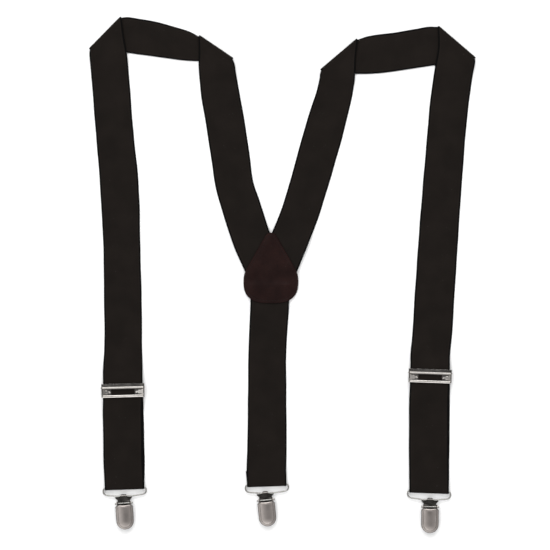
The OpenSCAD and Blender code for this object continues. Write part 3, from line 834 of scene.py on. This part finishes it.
def growing_tree(name, inputs):
    """A Geometry Nodes tree with named numbers and a material as inputs, its inputs' values and its end."""
    tree = bpy.data.node_groups.new(name, "GeometryNodeTree")
    tree.interface.new_socket("Geometry", in_out="INPUT", socket_type="NodeSocketGeometry")
    for socket, value in inputs:
        kind = "NodeSocketInt" if isinstance(value, int) else "NodeSocketFloat"
        tree.interface.new_socket(socket, in_out="INPUT", socket_type=kind).default_value = value
    tree.interface.new_socket("Material", in_out="INPUT", socket_type="NodeSocketMaterial")
    tree.interface.new_socket("Geometry", in_out="OUTPUT", socket_type="NodeSocketGeometry")
    start, end = tree.nodes.new("NodeGroupInput"), tree.nodes.new("NodeGroupOutput")
    return tree, start.outputs, end


def dress(tree, geometry, given, end, smooth=True):
    """Makes instances real, shades them smooth if asked, gives them the material and hands them out."""
    real = add(tree, "GeometryNodeRealizeInstances", {"Geometry": geometry}).outputs[0]
    if smooth:
        real = add(tree, "GeometryNodeSetShadeSmooth", {"Geometry": real}).outputs[0]
    inputs = {"Geometry": real, "Material": given["Material"]}
    tree.links.new(add(tree, "GeometryNodeSetMaterial", inputs).outputs[0], end.inputs[0])


def stitch_tree():
    """Geometry Nodes that lay a row of stitches along a path of edges."""
    tree, given, end = growing_tree("stitch_row", (
        ("Pitch", 0.003), ("Stitch Length", 0.0024), ("Thread Radius", 0.0002), ("Outward", 1.0), ("Seed", 3),
    ))
    path = add(tree, "GeometryNodeMeshToCurve", {"Mesh": given["Geometry"]}).outputs[0]
    holes = add(tree, "GeometryNodeCurveToPoints", {"Curve": path, "Length": given["Pitch"]}, mode="LENGTH")
    facing = add(tree, "FunctionNodeAlignRotationToVector", {"Vector": holes.outputs["Tangent"]},
                 axis="X", pivot_axis="Z")
    half = calc(tree, "MULTIPLY", given["Stitch Length"], 0.5)
    rise = calc(tree, "MULTIPLY", calc(tree, "MULTIPLY", given["Thread Radius"], 1.9), given["Outward"])
    ends = [
        add(tree, "ShaderNodeCombineXYZ", {"X": x, "Z": z}).outputs[0]
        for x, z in (
            (calc(tree, "MULTIPLY", half, -1.0), calc(tree, "MULTIPLY", rise, -0.9)),
            (0.0, rise),
            (half, calc(tree, "MULTIPLY", rise, -0.9)),
        )
    ]
    arch = add(tree, "GeometryNodeCurveQuadraticBezier",
               {"Resolution": 5, "Start": ends[0], "Middle": ends[1], "End": ends[2]}).outputs[0]
    ring = add(tree, "GeometryNodeCurvePrimitiveCircle",
               {"Resolution": 6, "Radius": given["Thread Radius"]}).outputs[0]
    stitch = add(tree, "GeometryNodeCurveToMesh",
                 {"Curve": arch, "Profile Curve": ring, "Fill Caps": True}).outputs[0]
    uneven = add(tree, "FunctionNodeRandomValue", {"Seed": given["Seed"]}, data_type="FLOAT")
    linked(tree, uneven.inputs[2], 0.9)
    linked(tree, uneven.inputs[3], 1.06)
    row = add(tree, "GeometryNodeInstanceOnPoints", {
        "Points": holes.outputs["Points"], "Instance": stitch,
        "Rotation": facing.outputs[0], "Scale": uneven.outputs[1],
    }).outputs[0]
    dress(tree, row, given, end)
    return tree


def grown(name, paths, closed, tree, values):
    """A plain mesh that a Geometry Nodes tree makes along one or more paths of points."""
    points, edges = [], []
    for path in paths:
        first = len(points)
        points += [tuple(p) for p in path]
        edges += [(i, i + 1) for i in range(first, len(points) - 1)]
        if closed:
            edges.append((len(points) - 1, first))
    host_mesh = bpy.data.meshes.new(name)
    host_mesh.from_pydata(points, edges, [])
    host = bpy.data.objects.new(name, host_mesh)
    bpy.context.scene.collection.objects.link(host)
    modifier = host.modifiers.new("grown", "NODES")
    modifier.node_group = tree
    for item in tree.interface.items_tree:
        if item.item_type == "SOCKET" and item.in_out == "INPUT" and item.name in values:
            modifier[item.identifier] = values[item.name]
    bpy.context.view_layer.update()
    graph = bpy.context.evaluated_depsgraph_get()
    mesh = bpy.data.meshes.new_from_object(
        host.evaluated_get(graph), preserve_all_data_layers=True, depsgraph=graph
    )
    host.modifiers.clear()
    host.data = mesh
    return host


def thread_material():
    thread_black = (0.004, 0.003, 0.003, 1)
    thread_brown = (0.010, 0.007, 0.006, 1)
    material, tree, shader, bump = new_material("thread", specular_ior_level=0.12, sheen_weight=0.02)
    place = add(tree, "ShaderNodeTexCoord").outputs["Object"]
    twist = add(tree, "ShaderNodeTexWave", {"Vector": place, "Scale": 900.0, "Distortion": 2.0},
                bands_direction="DIAGONAL").outputs["Fac"]
    fuzz = use_group(tree, lint, {"Vector": place, "Fibre Scale": 2400.0, "Speck Scale": 500.0})
    tree.links.new(mixed(tree, twist, thread_black, thread_brown), shader.inputs["Base Color"])
    tree.links.new(spread(tree, fuzz.outputs["Fibres"], 0.3, 0.7, 0.5, 0.7), shader.inputs["Roughness"])
    linked(tree, bump.inputs["Height"], twist)
    bump.inputs["Strength"].default_value = 0.5
    bump.inputs["Distance"].default_value = 0.00008
    return material


thread = thread_material()
stitches = stitch_tree()
seam = patch_outline(seam_inset, 400)
face_seam = np.column_stack([seam, sample_heights(drape, seam) + leather_t - 0.10])
lining_seam = np.column_stack([seam, np.full(len(seam), 0.12)])
for name, path, outward in (("patch_seam", face_seam, 1.0), ("patch_lining_seam", lining_seam, -1.0)):
    seam_stitches = grown(name, [(path - layout_middle) * mm], True, stitches, {
        "Pitch": 3.0 * mm, "Stitch Length": 2.3 * mm, "Thread Radius": thread_r * mm,
        "Outward": outward, "Seed": 3, "Material": thread,
    })
    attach(seam_stitches, "root")
    if name == "patch_seam":
        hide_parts("patch_stitching")


def hem_line(middle, degrees, z, inset=3.0):
    """A straight path across a strap, for one line of a hem's stitches."""
    half = loop_w / 2 - inset
    ends = [middle + turned([u, 0], degrees) for u in (-half, half)]
    return (np.array([[*p, z] for p in ends]) - layout_middle) * mm


hem_under_z = 0.12
hem_row_insets = (2.5, 4.5)
hem_stitch = {
    "Pitch": 2.6 * mm, "Stitch Length": 2.1 * mm, "Thread Radius": 0.18 * mm,
    "Outward": -1.0, "Seed": 8, "Material": thread,
}
for side in ("left", "right"):
    lines = [
        hem_line(on_adjuster(side, rear_bar_v - hem_l + inset), adjuster_turn[side], hem_under_z)
        for inset in hem_row_insets
    ]
    hem_seam = grown(f"{side}_hem_seam", lines, False, stitches, hem_stitch)
    bend_end(hem_seam)
for name, height, outward in (("face", mid_second + 0.66, 1.0), ("rear", hem_under_z, -1.0)):
    lines = [
        hem_line(end_at["back"] + turned([0, hem_l - inset], end_turn["back"]), end_turn["back"], height)
        for inset in hem_row_insets
    ]
    back_hem_seam = grown(f"back_hem_seam_{name}", lines, False, stitches, {**hem_stitch, "Outward": outward})
    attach(back_hem_seam, "back_end")

# ---------------------------------------------------------------------------------------------
# Adjusters. Stamped and nickel-plated steel: a frame with two cheeks that the strap passes
# through, and a flap with a window, on a pin across the frame, whose teeth bite the webbing.
# ---------------------------------------------------------------------------------------------
adjuster_w = 42.8
cheek_t = 0.8
flap_half_w = adjuster_w / 2 - cheek_t - 0.2
flap_pin_v = 2.9
flap_pin_z = 6.3
flap_tube_r = 1.1
flap_l = flap_pin_v + adjuster_h / 2
window_half_w = 11.8
lip_l = 2.3
window_l = 5.8
flap_sheet_t = 0.8
facet_low, facet_high = -0.45, 0.75


def handling_group():
    """Wear of plated metal: fine brushing along one direction, smudges, and thin scratches."""
    tree, start, end = effect_group(
        "handling_wear",
        [("Vector", "NodeSocketVector", None), ("Brush Scale", "NodeSocketFloat", 3000.0),
         ("Smudge Scale", "NodeSocketFloat", 180.0)],
        [("Brushing", "NodeSocketFloat"), ("Smudge", "NodeSocketFloat"), ("Scratch", "NodeSocketFloat")],
    )
    vector = start.outputs["Vector"]
    lengthwise = add(tree, "ShaderNodeMapping", {"Vector": vector, "Scale": (1.0, 0.04, 1.0)}).outputs[0]
    brushing = noise(tree, lengthwise, start.outputs["Brush Scale"], detail=3, roughness=0.6)
    smudge = spread(tree, noise(tree, vector, start.outputs["Smudge Scale"], detail=4), 0.38, 0.66)
    slanted = add(tree, "ShaderNodeMapping", {
        "Vector": vector, "Rotation": (0.0, 0.0, 0.6), "Scale": (1.0, 0.05, 1.0),
    }).outputs[0]
    scratch = spread(tree, noise(tree, slanted, 1400.0, detail=2), 0.70, 0.76)
    for name, value in (("Brushing", brushing), ("Smudge", smudge), ("Scratch", scratch)):
        tree.links.new(value, end.inputs[name])
    return tree


handling = handling_group()


def metal_material(name, clean, dull, rough, brush_depth, brush_scale=3000.0):
    """Plated steel: rough is its roughness where clean, and brush_depth the height of its brushing."""
    material, tree, shader, bump = new_material(name, metallic=1.0)
    place = add(tree, "ShaderNodeTexCoord").outputs["Object"]
    wear = use_group(tree, handling, {"Vector": place, "Brush Scale": brush_scale, "Smudge Scale": 170.0})
    colour = mixed(tree, calc(tree, "MULTIPLY", wear.outputs["Smudge"], 0.7), clean, dull)
    colour = mixed(tree, calc(tree, "MULTIPLY", wear.outputs["Scratch"], 0.35), colour, (0.80, 0.78, 0.75, 1))
    tree.links.new(colour, shader.inputs["Base Color"])
    uneven = calc(tree, "ADD", calc(tree, "MULTIPLY", wear.outputs["Smudge"], 0.10),
                  calc(tree, "MULTIPLY", wear.outputs["Brushing"], 0.08))
    tree.links.new(calc(tree, "ADD", uneven, rough - 0.07), shader.inputs["Roughness"])
    linked(tree, bump.inputs["Height"], wear.outputs["Brushing"])
    bump.inputs["Strength"].default_value = 0.6
    bump.inputs["Distance"].default_value = brush_depth
    return material


nickel = metal_material("nickel", (0.43, 0.41, 0.39, 1), (0.34, 0.32, 0.30, 1), 0.17, 0.000004)


def placed(at, height, degrees):
    """The frame's matrix for a place of the layout in millimetres."""
    x, y = np.array(at) - layout_middle[:2]
    return (
        Matrix.Translation((x * mm, y * mm, height * mm))
        @ Matrix.Rotation(math.radians(degrees), 4, "Z")
        @ Matrix.Diagonal((mm, mm, mm, 1))
    )


def finished(name, shape, material, place=None, sharp_from=20):
    """An object of a bmesh, put in place, with edges sharper than an angle in degrees left sharp."""
    mesh = bpy.data.meshes.new(name)
    if place is not None:
        bmesh.ops.transform(shape, matrix=place, verts=shape.verts)
    shape.to_mesh(mesh)
    shape.free()
    mesh.polygons.foreach_set("use_smooth", [True] * len(mesh.polygons))
    mesh.set_sharp_from_angle(angle=math.radians(sharp_from))
    mesh.materials.append(material)
    made = bpy.data.objects.new(name, mesh)
    bpy.context.scene.collection.objects.link(made)
    return made


def with_modifiers_applied(made):
    graph = bpy.context.evaluated_depsgraph_get()
    mesh = bpy.data.meshes.new_from_object(made.evaluated_get(graph), depsgraph=graph)
    made.modifiers.clear()
    made.data = mesh
    return made


def eased(node, material, body, width=0.12):
    """A piece with the shape of a CAD node and its edges eased, as tumbling leaves stamped parts."""
    shape = bmesh.new()
    shape.from_mesh(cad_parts[node].data)
    bmesh.ops.remove_doubles(shape, verts=shape.verts, dist=0.002 * mm)
    bmesh.ops.dissolve_limit(shape, angle_limit=math.radians(0.5), verts=shape.verts, edges=shape.edges)
    made = finished(node + "_finished", shape, material)
    easing = made.modifiers.new("easing", "BEVEL")
    easing.width = width * mm
    easing.segments = 2
    easing.limit_method = "ANGLE"
    easing.angle_limit = math.radians(35)
    with_modifiers_applied(made)
    made.data.set_sharp_from_angle(angle=math.radians(20))
    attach(made, body)
    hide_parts(node)
    return made


def cylinder_into(shape, start, end, r, sides=24):
    """Adds a capped cylinder between two points to a bmesh."""
    start, end = np.array(start, float), np.array(end, float)
    along = unit(end - start)
    other = np.array([0, 0, 1.0]) if abs(along[2]) < 0.9 else np.array([1.0, 0, 0])
    e1 = unit(np.cross(along, other))
    e2 = np.cross(along, e1)
    rings = []
    for centre in (start, end):
        rings.append([
            shape.verts.new(centre + r * (e1 * math.cos(a) + e2 * math.sin(a)))
            for a in (2 * math.pi * k / sides for k in range(sides))
        ])
    for k in range(sides):
        n = (k + 1) % sides
        shape.faces.new((rings[0][k], rings[0][n], rings[1][n], rings[1][k]))
    shape.faces.new(list(reversed(rings[0])))
    shape.faces.new(rings[1])


def flap_height(u, v):
    """Height of the flap's face over its pin: a rolled lip, and a sloping triangle pressed in each side."""
    from_foot = v + flap_l
    lip = 0.0
    if from_foot < lip_l:
        lip = 0.5 * math.sin(math.pi * (from_foot + 0.25) / (lip_l + 0.5))
    panel = max(0.0, abs(u) - window_half_w) / (flap_half_w - window_half_w)
    from_middle = abs(from_foot - lip_l - window_l / 2) / (window_l / 2)
    facet = 0.0
    if from_middle < min(panel, 0.95):
        facet = facet_low + (facet_high - facet_low) * panel
    return 0.35 + lip + facet


def flap_shape():
    """The flap's bent sheet with its window, as a closed shell."""
    us = [*np.linspace(-flap_half_w, -window_half_w, 25),
          *np.linspace(-window_half_w, window_half_w, 13)[1:-1],
          *np.linspace(window_half_w, flap_half_w, 25)]
    lip_rows, window_rows = 8, 24
    vs = [*np.linspace(-flap_l, lip_l - flap_l, lip_rows + 1),
          *np.linspace(lip_l - flap_l, lip_l + window_l - flap_l, window_rows + 1)[1:], 0]
    shape = bmesh.new()
    grid = [[shape.verts.new((u, v, flap_height(u, v))) for v in vs] for u in us]
    for i in range(len(us) - 1):
        for j in range(len(vs) - 1):
            in_window = abs(us[i] + us[i + 1]) / 2 < window_half_w and lip_rows <= j < lip_rows + window_rows
            if not in_window:
                shape.faces.new((grid[i][j], grid[i + 1][j], grid[i + 1][j + 1], grid[i][j + 1]))
    loose = [v for v in shape.verts if not v.link_faces]
    bmesh.ops.delete(shape, geom=loose, context="VERTS")
    copied = bmesh.ops.extrude_face_region(shape, geom=shape.faces[:], use_keep_orig=True)["geom"]
    below = [v for v in copied if isinstance(v, bmesh.types.BMVert)]
    bmesh.ops.translate(shape, verts=below, vec=(0, 0, -flap_sheet_t))
    bmesh.ops.recalc_face_normals(shape, faces=shape.faces)
    return shape


def tooth_tree():
    """Geometry Nodes that set a row of pointed teeth along a path of edges, points down."""
    tree, given, end = growing_tree("tooth_row", (
        ("Tooth Radius", 0.0007), ("Tooth Depth", 0.001), ("Count", 9),
    ))
    path = add(tree, "GeometryNodeMeshToCurve", {"Mesh": given["Geometry"]}).outputs[0]
    places = add(tree, "GeometryNodeCurveToPoints", {"Curve": path, "Count": given["Count"]}, mode="COUNT")
    tooth = add(tree, "GeometryNodeMeshCone", {
        "Vertices": 8, "Radius Top": calc(tree, "MULTIPLY", given["Tooth Radius"], 0.2),
        "Radius Bottom": given["Tooth Radius"], "Depth": given["Tooth Depth"],
    }).outputs["Mesh"]
    row = add(tree, "GeometryNodeInstanceOnPoints", {
        "Points": places.outputs["Points"], "Instance": tooth, "Rotation": (math.pi, 0.0, 0.0),
    }).outputs[0]
    dress(tree, row, given, end, smooth=False)
    return tree


teeth = tooth_tree()
tooth_count = 9
tooth_span = 32.0
tooth_v = -0.25
for side in ("left", "right"):
    place = placed(on_adjuster(side, flap_pin_v), flap_pin_z, adjuster_turn[side])
    eased(f"{side}_adjuster_frame", nickel, f"{side}_adjuster")
    eased(f"{side}_adjuster_pin", nickel, f"{side}_adjuster", 0.1)
    shape = flap_shape()
    cylinder_into(shape, (-flap_half_w, 0, 0), (flap_half_w, 0, 0), flap_tube_r)
    flap = finished(f"{side}_adjuster_flap_plate", shape, nickel, place, 32)
    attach(flap, f"{side}_flap")
    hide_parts(f"{side}_adjuster_flap")
    row = [place @ Matrix.Translation((u, tooth_v, -0.35)) for u in (-tooth_span / 2, tooth_span / 2)]
    tooth_row = grown(
        f"{side}_adjuster_teeth", [[matrix.translation for matrix in row]], False, teeth,
        {"Tooth Radius": 0.75 * mm, "Tooth Depth": 0.8 * mm, "Count": tooth_count, "Material": nickel},
    )
    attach(tooth_row, f"{side}_flap")

# ---------------------------------------------------------------------------------------------
# Bails. Closed loops of round steel wire. The webbing goes round the long bar, and the clip's
# rolled tab turns on the short one.
# ---------------------------------------------------------------------------------------------
bail_reach = 8.6
bail_half = [
    (0, 0), (19.8, 0), (20.9, -0.8), (21.5, -2.4), (21.5, -4.2), (20.6, -6),
    (18.4, -7.2), (15, -7.6), (11, -8), (8, -8.4), (5.8, -bail_reach), (0, -bail_reach),
]


def wire_tree():
    """Geometry Nodes that sweep round wire along a closed path of edges."""
    tree, given, end = growing_tree("bent_wire", (("Wire Radius", 0.001), ("Sides", 16)))
    path = add(tree, "GeometryNodeMeshToCurve", {"Mesh": given["Geometry"]}).outputs[0]
    ring = add(tree, "GeometryNodeCurvePrimitiveCircle",
               {"Resolution": given["Sides"], "Radius": given["Wire Radius"]}).outputs[0]
    wire = add(tree, "GeometryNodeCurveToMesh", {"Curve": path, "Profile Curve": ring}).outputs[0]
    dress(tree, wire, given, end)
    return tree


def rounded_loop(points, times):
    """A closed loop with its corners cut, again and again, into curves."""
    for _ in range(times):
        following = np.roll(points, -1, axis=0)
        points = np.stack([points * 0.75 + following * 0.25, points * 0.25 + following * 0.75], axis=1)
        points = points.reshape(-1, points.shape[-1])
    return points


wire_steel = metal_material("wire_steel", (0.34, 0.335, 0.32, 1), (0.23, 0.222, 0.21, 1), 0.24, 0.000006)
wires = wire_tree()
bail_loop = np.array(bail_half + [(-x, v) for x, v in reversed(bail_half[1:-1])], float)
bail_loop = rounded_loop(bail_loop, 3)
for side in ("left", "back", "right"):
    place = placed(end_at[side], bar_z, end_turn[side])
    path = [place @ Matrix.Translation((x, v, 0)) for x, v in bail_loop]
    bail = grown(
        f"{side}_bail_wire", [[matrix.translation for matrix in path]], True, wires,
        {"Wire Radius": wire_r * mm, "Sides": 16, "Material": wire_steel},
    )
    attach(bail, f"{side}_bail")
    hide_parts(f"{side}_bail")

# ---------------------------------------------------------------------------------------------
# Clips. Stamped steel clips of a back plate rolled round the bail, a thin sprung jaw, a hinge
# pin, and a domed satin-nickel lever that snaps down over them. Pale ribbed pads line the jaws.
# ---------------------------------------------------------------------------------------------
clip_turn = {"left": 2, "back": 3.5, "right": 1.5}
clip_shift = {"left": -1.4, "back": -1.9, "right": 1.2}
pin_v = -6.8
pin_z = 3.6
lever_r = 8.7
lever_corner_w, lever_corner_h = 2.1, 1.4
lever_tip_v = -33.0
lever_shoulder_v = -8.4
lever_round_v = lever_tip_v + lever_r
lever_top_z = 7.2
lever_skirt_z = 1.9
lever_crown_r = 26.0
lever_t = 0.8
bite_r = 40.0
bite_depth = 0.2
cheek_from, cheek_to = 6.65, 7.35


def clip_place(side):
    shift = turned([clip_shift[side], -bail_reach], end_turn[side])
    return placed(end_at[side] + shift, 0, end_turn[side] + clip_turn[side])


def upper_edge(x):
    """The lever's upper edge, a little hollow, with its corners cut."""
    hollow = lever_shoulder_v - bite_depth + bite_r - math.sqrt(bite_r**2 - x**2)
    corner = max(0.0, x - (lever_r - lever_corner_w)) / lever_corner_w
    return min(lever_shoulder_v, hollow) - lever_corner_h * corner


def lever_face(q, edge):
    """Height of the lever's face: q from its middle line, edge from its upper edge."""
    lip_tilt = 24
    crown = lever_crown_r - math.sqrt(lever_crown_r**2 - q**2)
    lip_l = 0.7 + 0.9 * max(0.0, 1 - (q / 7) ** 2)
    lip = max(0.0, lip_l - edge) * math.tan(math.radians(lip_tilt))
    curl_r = 0.35
    curl = 0.0
    if edge < curl_r:
        curl = curl_r - math.sqrt(curl_r**2 - (curl_r - edge) ** 2)
    crease = 0.2 * math.exp(-(((edge - lip_l - 0.35) / 0.3) ** 2))
    rim_line = 0.18 * math.exp(-(((lever_r - q - 2.2) / 0.35) ** 2))
    return lever_top_z - crown - lip - curl - crease - rim_line


def lever_shell():
    """The lever's pressed sheet: skirts that turn up into a crowned face, as a closed shell."""
    round_over = 1.0
    side_rows = 34
    tip_rows = 28
    turns = np.radians(np.linspace(0, 90, 6))
    skirt_zs = (lever_skirt_z, 2.6, 3.3)
    insets = [1.4, 1.8, 2.2, 2.6, 3.1, 4.0, 5.2, 6.4, 7.6, lever_r]
    share = 1 - np.linspace(0, 1, side_rows) ** 1.6
    side_top = upper_edge(lever_r)
    sides = [(lever_r, lever_round_v + (side_top - lever_round_v) * s, s) for s in share]
    rows = []

    def strip(edge_x, edge_v, s, towards):
        """One strip of points from the skirt's foot to the middle line."""
        points = []

        def plan(inset):
            if s is None:
                return np.array([edge_x, edge_v]) + towards * inset, lever_r - inset
            x = lever_r - inset
            return np.array([math.copysign(x, edge_x), edge_v + (upper_edge(x) - side_top) * s]), x

        def edge_distance(place):
            return max(0.0, upper_edge(min(abs(place[0]), lever_r)) - place[1])

        rim_place, rim_q = plan(round_over)
        rim_z = lever_face(rim_q, edge_distance(rim_place))
        for z in skirt_zs:
            points.append((*plan(0)[0], min(z, rim_z - round_over)))
        for turn in turns:
            place, _ = plan(round_over * (1 - math.cos(turn)))
            points.append((*place, rim_z - round_over * (1 - math.sin(turn))))
        for inset in insets:
            place, q = plan(inset)
            points.append((*place, lever_face(q, edge_distance(place))))
        return points

    for x, v, s in sides:
        rows.append(strip(x, v, s, None))
    for turn in np.linspace(0, math.pi, tip_rows)[1:-1]:
        out = np.array([math.cos(turn), -math.sin(turn)])
        edge = np.array([0, lever_round_v]) + out * lever_r
        rows.append(strip(edge[0], edge[1], None, -out))
    for x, v, s in reversed(sides):
        rows.append(strip(-x, v, s, None))
    shape = bmesh.new()
    grid = [[shape.verts.new(p) for p in row] for row in rows]
    for i in range(len(rows) - 1):
        for j in range(len(rows[0]) - 1):
            shape.faces.new((grid[i][j], grid[i][j + 1], grid[i + 1][j + 1], grid[i + 1][j]))
    bmesh.ops.remove_doubles(shape, verts=shape.verts, dist=0.01)
    bmesh.ops.recalc_face_normals(shape, faces=shape.faces)
    if sum(f.normal.z for f in shape.faces) < 0:
        bmesh.ops.reverse_faces(shape, faces=shape.faces)
    return shape


def plate_into(shape, outline, from_x, to_x):
    """Adds a flat plate across the clip to a bmesh, from an outline in its v-z plane."""
    rings = [[shape.verts.new((x, v, z)) for v, z in outline] for x in (from_x, to_x)]
    count = len(outline)
    made = [shape.faces.new(rings[0]), shape.faces.new(list(reversed(rings[1])))]
    for k in range(count):
        n = (k + 1) % count
        made.append(shape.faces.new((rings[0][k], rings[1][k], rings[1][n], rings[0][n])))
    bmesh.ops.recalc_face_normals(shape, faces=made)


def lever_cheek():
    """Outline of the ears that carry the lever on the hinge pin."""
    boss_r = 2.0
    boss = [
        (pin_v + boss_r * math.cos(turn), pin_z + boss_r * math.sin(turn))
        for turn in np.radians(np.linspace(90, -90, 13))
    ]
    return boss + [(-10, 1.7), (-13, 1.9), (-13, 5.2), (-10, 5.1)]


def ribbed_pad(bottom_z, top_z, ribs_up):
    """A pad's closed block with rounded ribs across its gripping face."""
    half_w, from_v, to_v = 6.0, -21.0, -29.0
    rib_pitch = 1.0
    rib_h = 0.22
    vs = np.linspace(from_v, to_v, 65)
    wave = rib_h * (0.5 - 0.5 * np.cos(2 * math.pi * (vs - from_v) / rib_pitch))
    shape = bmesh.new()
    gripping = [(v, top_z - rib_h + w if ribs_up else bottom_z + rib_h - w) for v, w in zip(vs, wave)]
    backing = [(v, bottom_z if ribs_up else top_z) for v in (to_v, from_v)]
    plate_into(shape, gripping + backing, -half_w, half_w)
    bmesh.ops.recalc_face_normals(shape, faces=shape.faces)
    return shape


satin_nickel = metal_material(
    "satin_nickel", (0.285, 0.257, 0.242, 1), (0.225, 0.203, 0.192, 1), 0.34, 0.000012, 2600.0
)
# Darker steel of the clip's back plate and jaw, also used as painted shade on the lever's rim and inside.
clip_steel_and_rim_shade = metal_material("clip_steel_and_rim_shade", (0.16, 0.15, 0.14, 1), (0.10, 0.095, 0.09, 1), 0.20, 0.000006)
# Painted shade: the lever's faces that point less than this far upwards, its rim and its inside, take the
# darker clip steel in place of satin nickel
rim_facing = 0.9


def pad_material():
    material, tree, shader, bump = new_material("pad_plastic", specular_ior_level=0.4)
    place = add(tree, "ShaderNodeTexCoord").outputs["Object"]
    wear = use_group(tree, handling, {"Vector": place, "Brush Scale": 1800.0, "Smudge Scale": 260.0})
    colour = mixed(tree, wear.outputs["Smudge"], (0.62, 0.59, 0.52, 1), (0.44, 0.41, 0.35, 1))
    tree.links.new(colour, shader.inputs["Base Color"])
    tree.links.new(spread(tree, wear.outputs["Brushing"], 0.3, 0.7, 0.42, 0.58), shader.inputs["Roughness"])
    linked(tree, bump.inputs["Height"], wear.outputs["Brushing"])
    bump.inputs["Strength"].default_value = 0.4
    bump.inputs["Distance"].default_value = 0.00002
    return material


pad_plastic = pad_material()
cam_outline = [(-12.5, 3.3), (-11.3, 3.3), (-11.3, 5.2), (-12.5, 5.2)]
for side in ("left", "back", "right"):
    place = clip_place(side)
    clip = f"{side}_clip"
    eased(f"{side}_clip_back", clip_steel_and_rim_shade, clip)
    eased(f"{side}_clip_jaw", clip_steel_and_rim_shade, f"{side}_jaw", 0.08)
    eased(f"{side}_hinge_pin", wire_steel, clip, 0.1)

    shell = finished(f"{side}_lever_shield", lever_shell(), satin_nickel, place, 50)
    shell.data.materials.append(clip_steel_and_rim_shade)
    # Painted shade: faces that point away from straight up take the darker steel.
    for face in shell.data.polygons:
        face.material_index = int(face.normal.z < rim_facing)
    thickness = shell.modifiers.new("sheet", "SOLIDIFY")
    thickness.thickness = lever_t * mm
    thickness.offset = -1
    thickness.use_even_offset = True
    with_modifiers_applied(shell)
    shell.data.set_sharp_from_angle(angle=math.radians(50))
    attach(shell, f"{side}_lever")
    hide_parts(f"{side}_clip_lever")

    ears = bmesh.new()
    for sign in (-1, 1):
        plate_into(ears, lever_cheek(), sign * cheek_from, sign * cheek_to)
    plate_into(ears, cam_outline, -cheek_from, cheek_from)
    ears = finished(f"{side}_lever_ears", ears, satin_nickel, place)
    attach(ears, f"{side}_lever")

    for name, body, low, high, ribs_up in (
        ("back_pad", clip, 0.8, 1.65, True), ("jaw_pad", f"{side}_jaw", 1.8, 2.6, False),
    ):
        pad = finished(f"{side}_{name}_ribbed", ribbed_pad(low, high, ribs_up), pad_plastic, place, 40)
        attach(pad, body)
        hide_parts(f"{side}_{name}")

# ---------------------------------------------------------------------------------------------
# Table, lights and camera. The suspenders lie on a plain white table under two long soft
# lights, seen from straight above.
# ---------------------------------------------------------------------------------------------
scene = bpy.context.scene
table_drop = 0.25 * mm


def table_material():
    material, tree, shader, bump = new_material("table", roughness=0.9, specular_ior_level=0.1)
    place = add(tree, "ShaderNodeTexCoord").outputs["Object"]
    tree.links.new(
        mixed(tree, noise(tree, place, 3.0), (0.86, 0.86, 0.86, 1), (0.88, 0.88, 0.88, 1)),
        shader.inputs["Base Color"],
    )
    return material


half_table = 6.0
table_mesh = bpy.data.meshes.new("table")
table_mesh.from_pydata(
    [(x * half_table, y * half_table, -table_drop) for x, y in ((-1, -1), (1, -1), (1, 1), (-1, 1))],
    [], [(0, 1, 2, 3)],
)
table_mesh.materials.append(table_material())
table = bpy.data.objects.new("table", table_mesh)
scene.collection.objects.link(table)


def sky():
    """Soft surroundings: pale at the sides, darker to the right, and dark straight above the table."""
    world = bpy.data.worlds.new("studio")
    world.use_nodes = True
    tree = world.node_tree
    direction = add(tree, "ShaderNodeTexCoord").outputs["Generated"]
    part = add(tree, "ShaderNodeSeparateXYZ", {"Vector": direction})
    ramp = add(tree, "ShaderNodeValToRGB", {"Fac": part.outputs["Z"]})
    stops = ((0.0, 0.12), (0.35, 0.30), (0.60, 0.75), (0.82, 0.80), (0.95, 0.45), (0.985, 0.03))
    ramp.color_ramp.elements.remove(ramp.color_ramp.elements[1])
    for place, value in stops:
        if place == 0.0:
            stop = ramp.color_ramp.elements[0]
        else:
            stop = ramp.color_ramp.elements.new(place)
        stop.color = (value, value, value, 1)
    background = tree.nodes["Background"]
    flagged = calc(tree, "MULTIPLY", spread(tree, part.outputs["X"], -0.25, 0.50, 1.10, 0.45),
                   spread(tree, part.outputs["X"], -0.80, -0.35, 0.35, 1.0))
    tree.links.new(mixed(tree, 1.0, ramp.outputs["Color"], flagged, "MULTIPLY"), background.inputs["Color"])
    background.inputs["Strength"].default_value = 2.8
    scene.world = world


def soft_light(name, at, size, power):
    lamp = bpy.data.lights.new(name, "AREA")
    lamp.shape = "RECTANGLE"
    lamp.size, lamp.size_y = size
    lamp.energy = power
    made = bpy.data.objects.new(name, lamp)
    made.matrix_world = Matrix.Translation(at) @ (
        -Matrix.Translation(at).translation
    ).to_track_quat("-Z", "Y").to_matrix().to_4x4()
    scene.collection.objects.link(made)


sky()
soft_light("top_light", (0.0, 1.7, 1.5), (2.8, 1.1), 30)
soft_light("bottom_light", (0.0, -1.7, 1.5), (2.8, 1.1), 6)

scene.view_settings.view_transform = "Standard"
camera_data = bpy.data.cameras.new("camera")
camera = bpy.data.objects.new("camera", camera_data)
scene.collection.objects.link(camera)
camera_height = 3.0
view_half = 0.275
camera.location = (-7.35 * mm, -0.43 * mm, camera_height)
camera_data.sensor_width = 36
camera_data.lens = camera_data.sensor_width / 2 * camera_height / view_half
camera_data.clip_start = 0.1
camera_data.clip_end = 60
scene.camera = camera
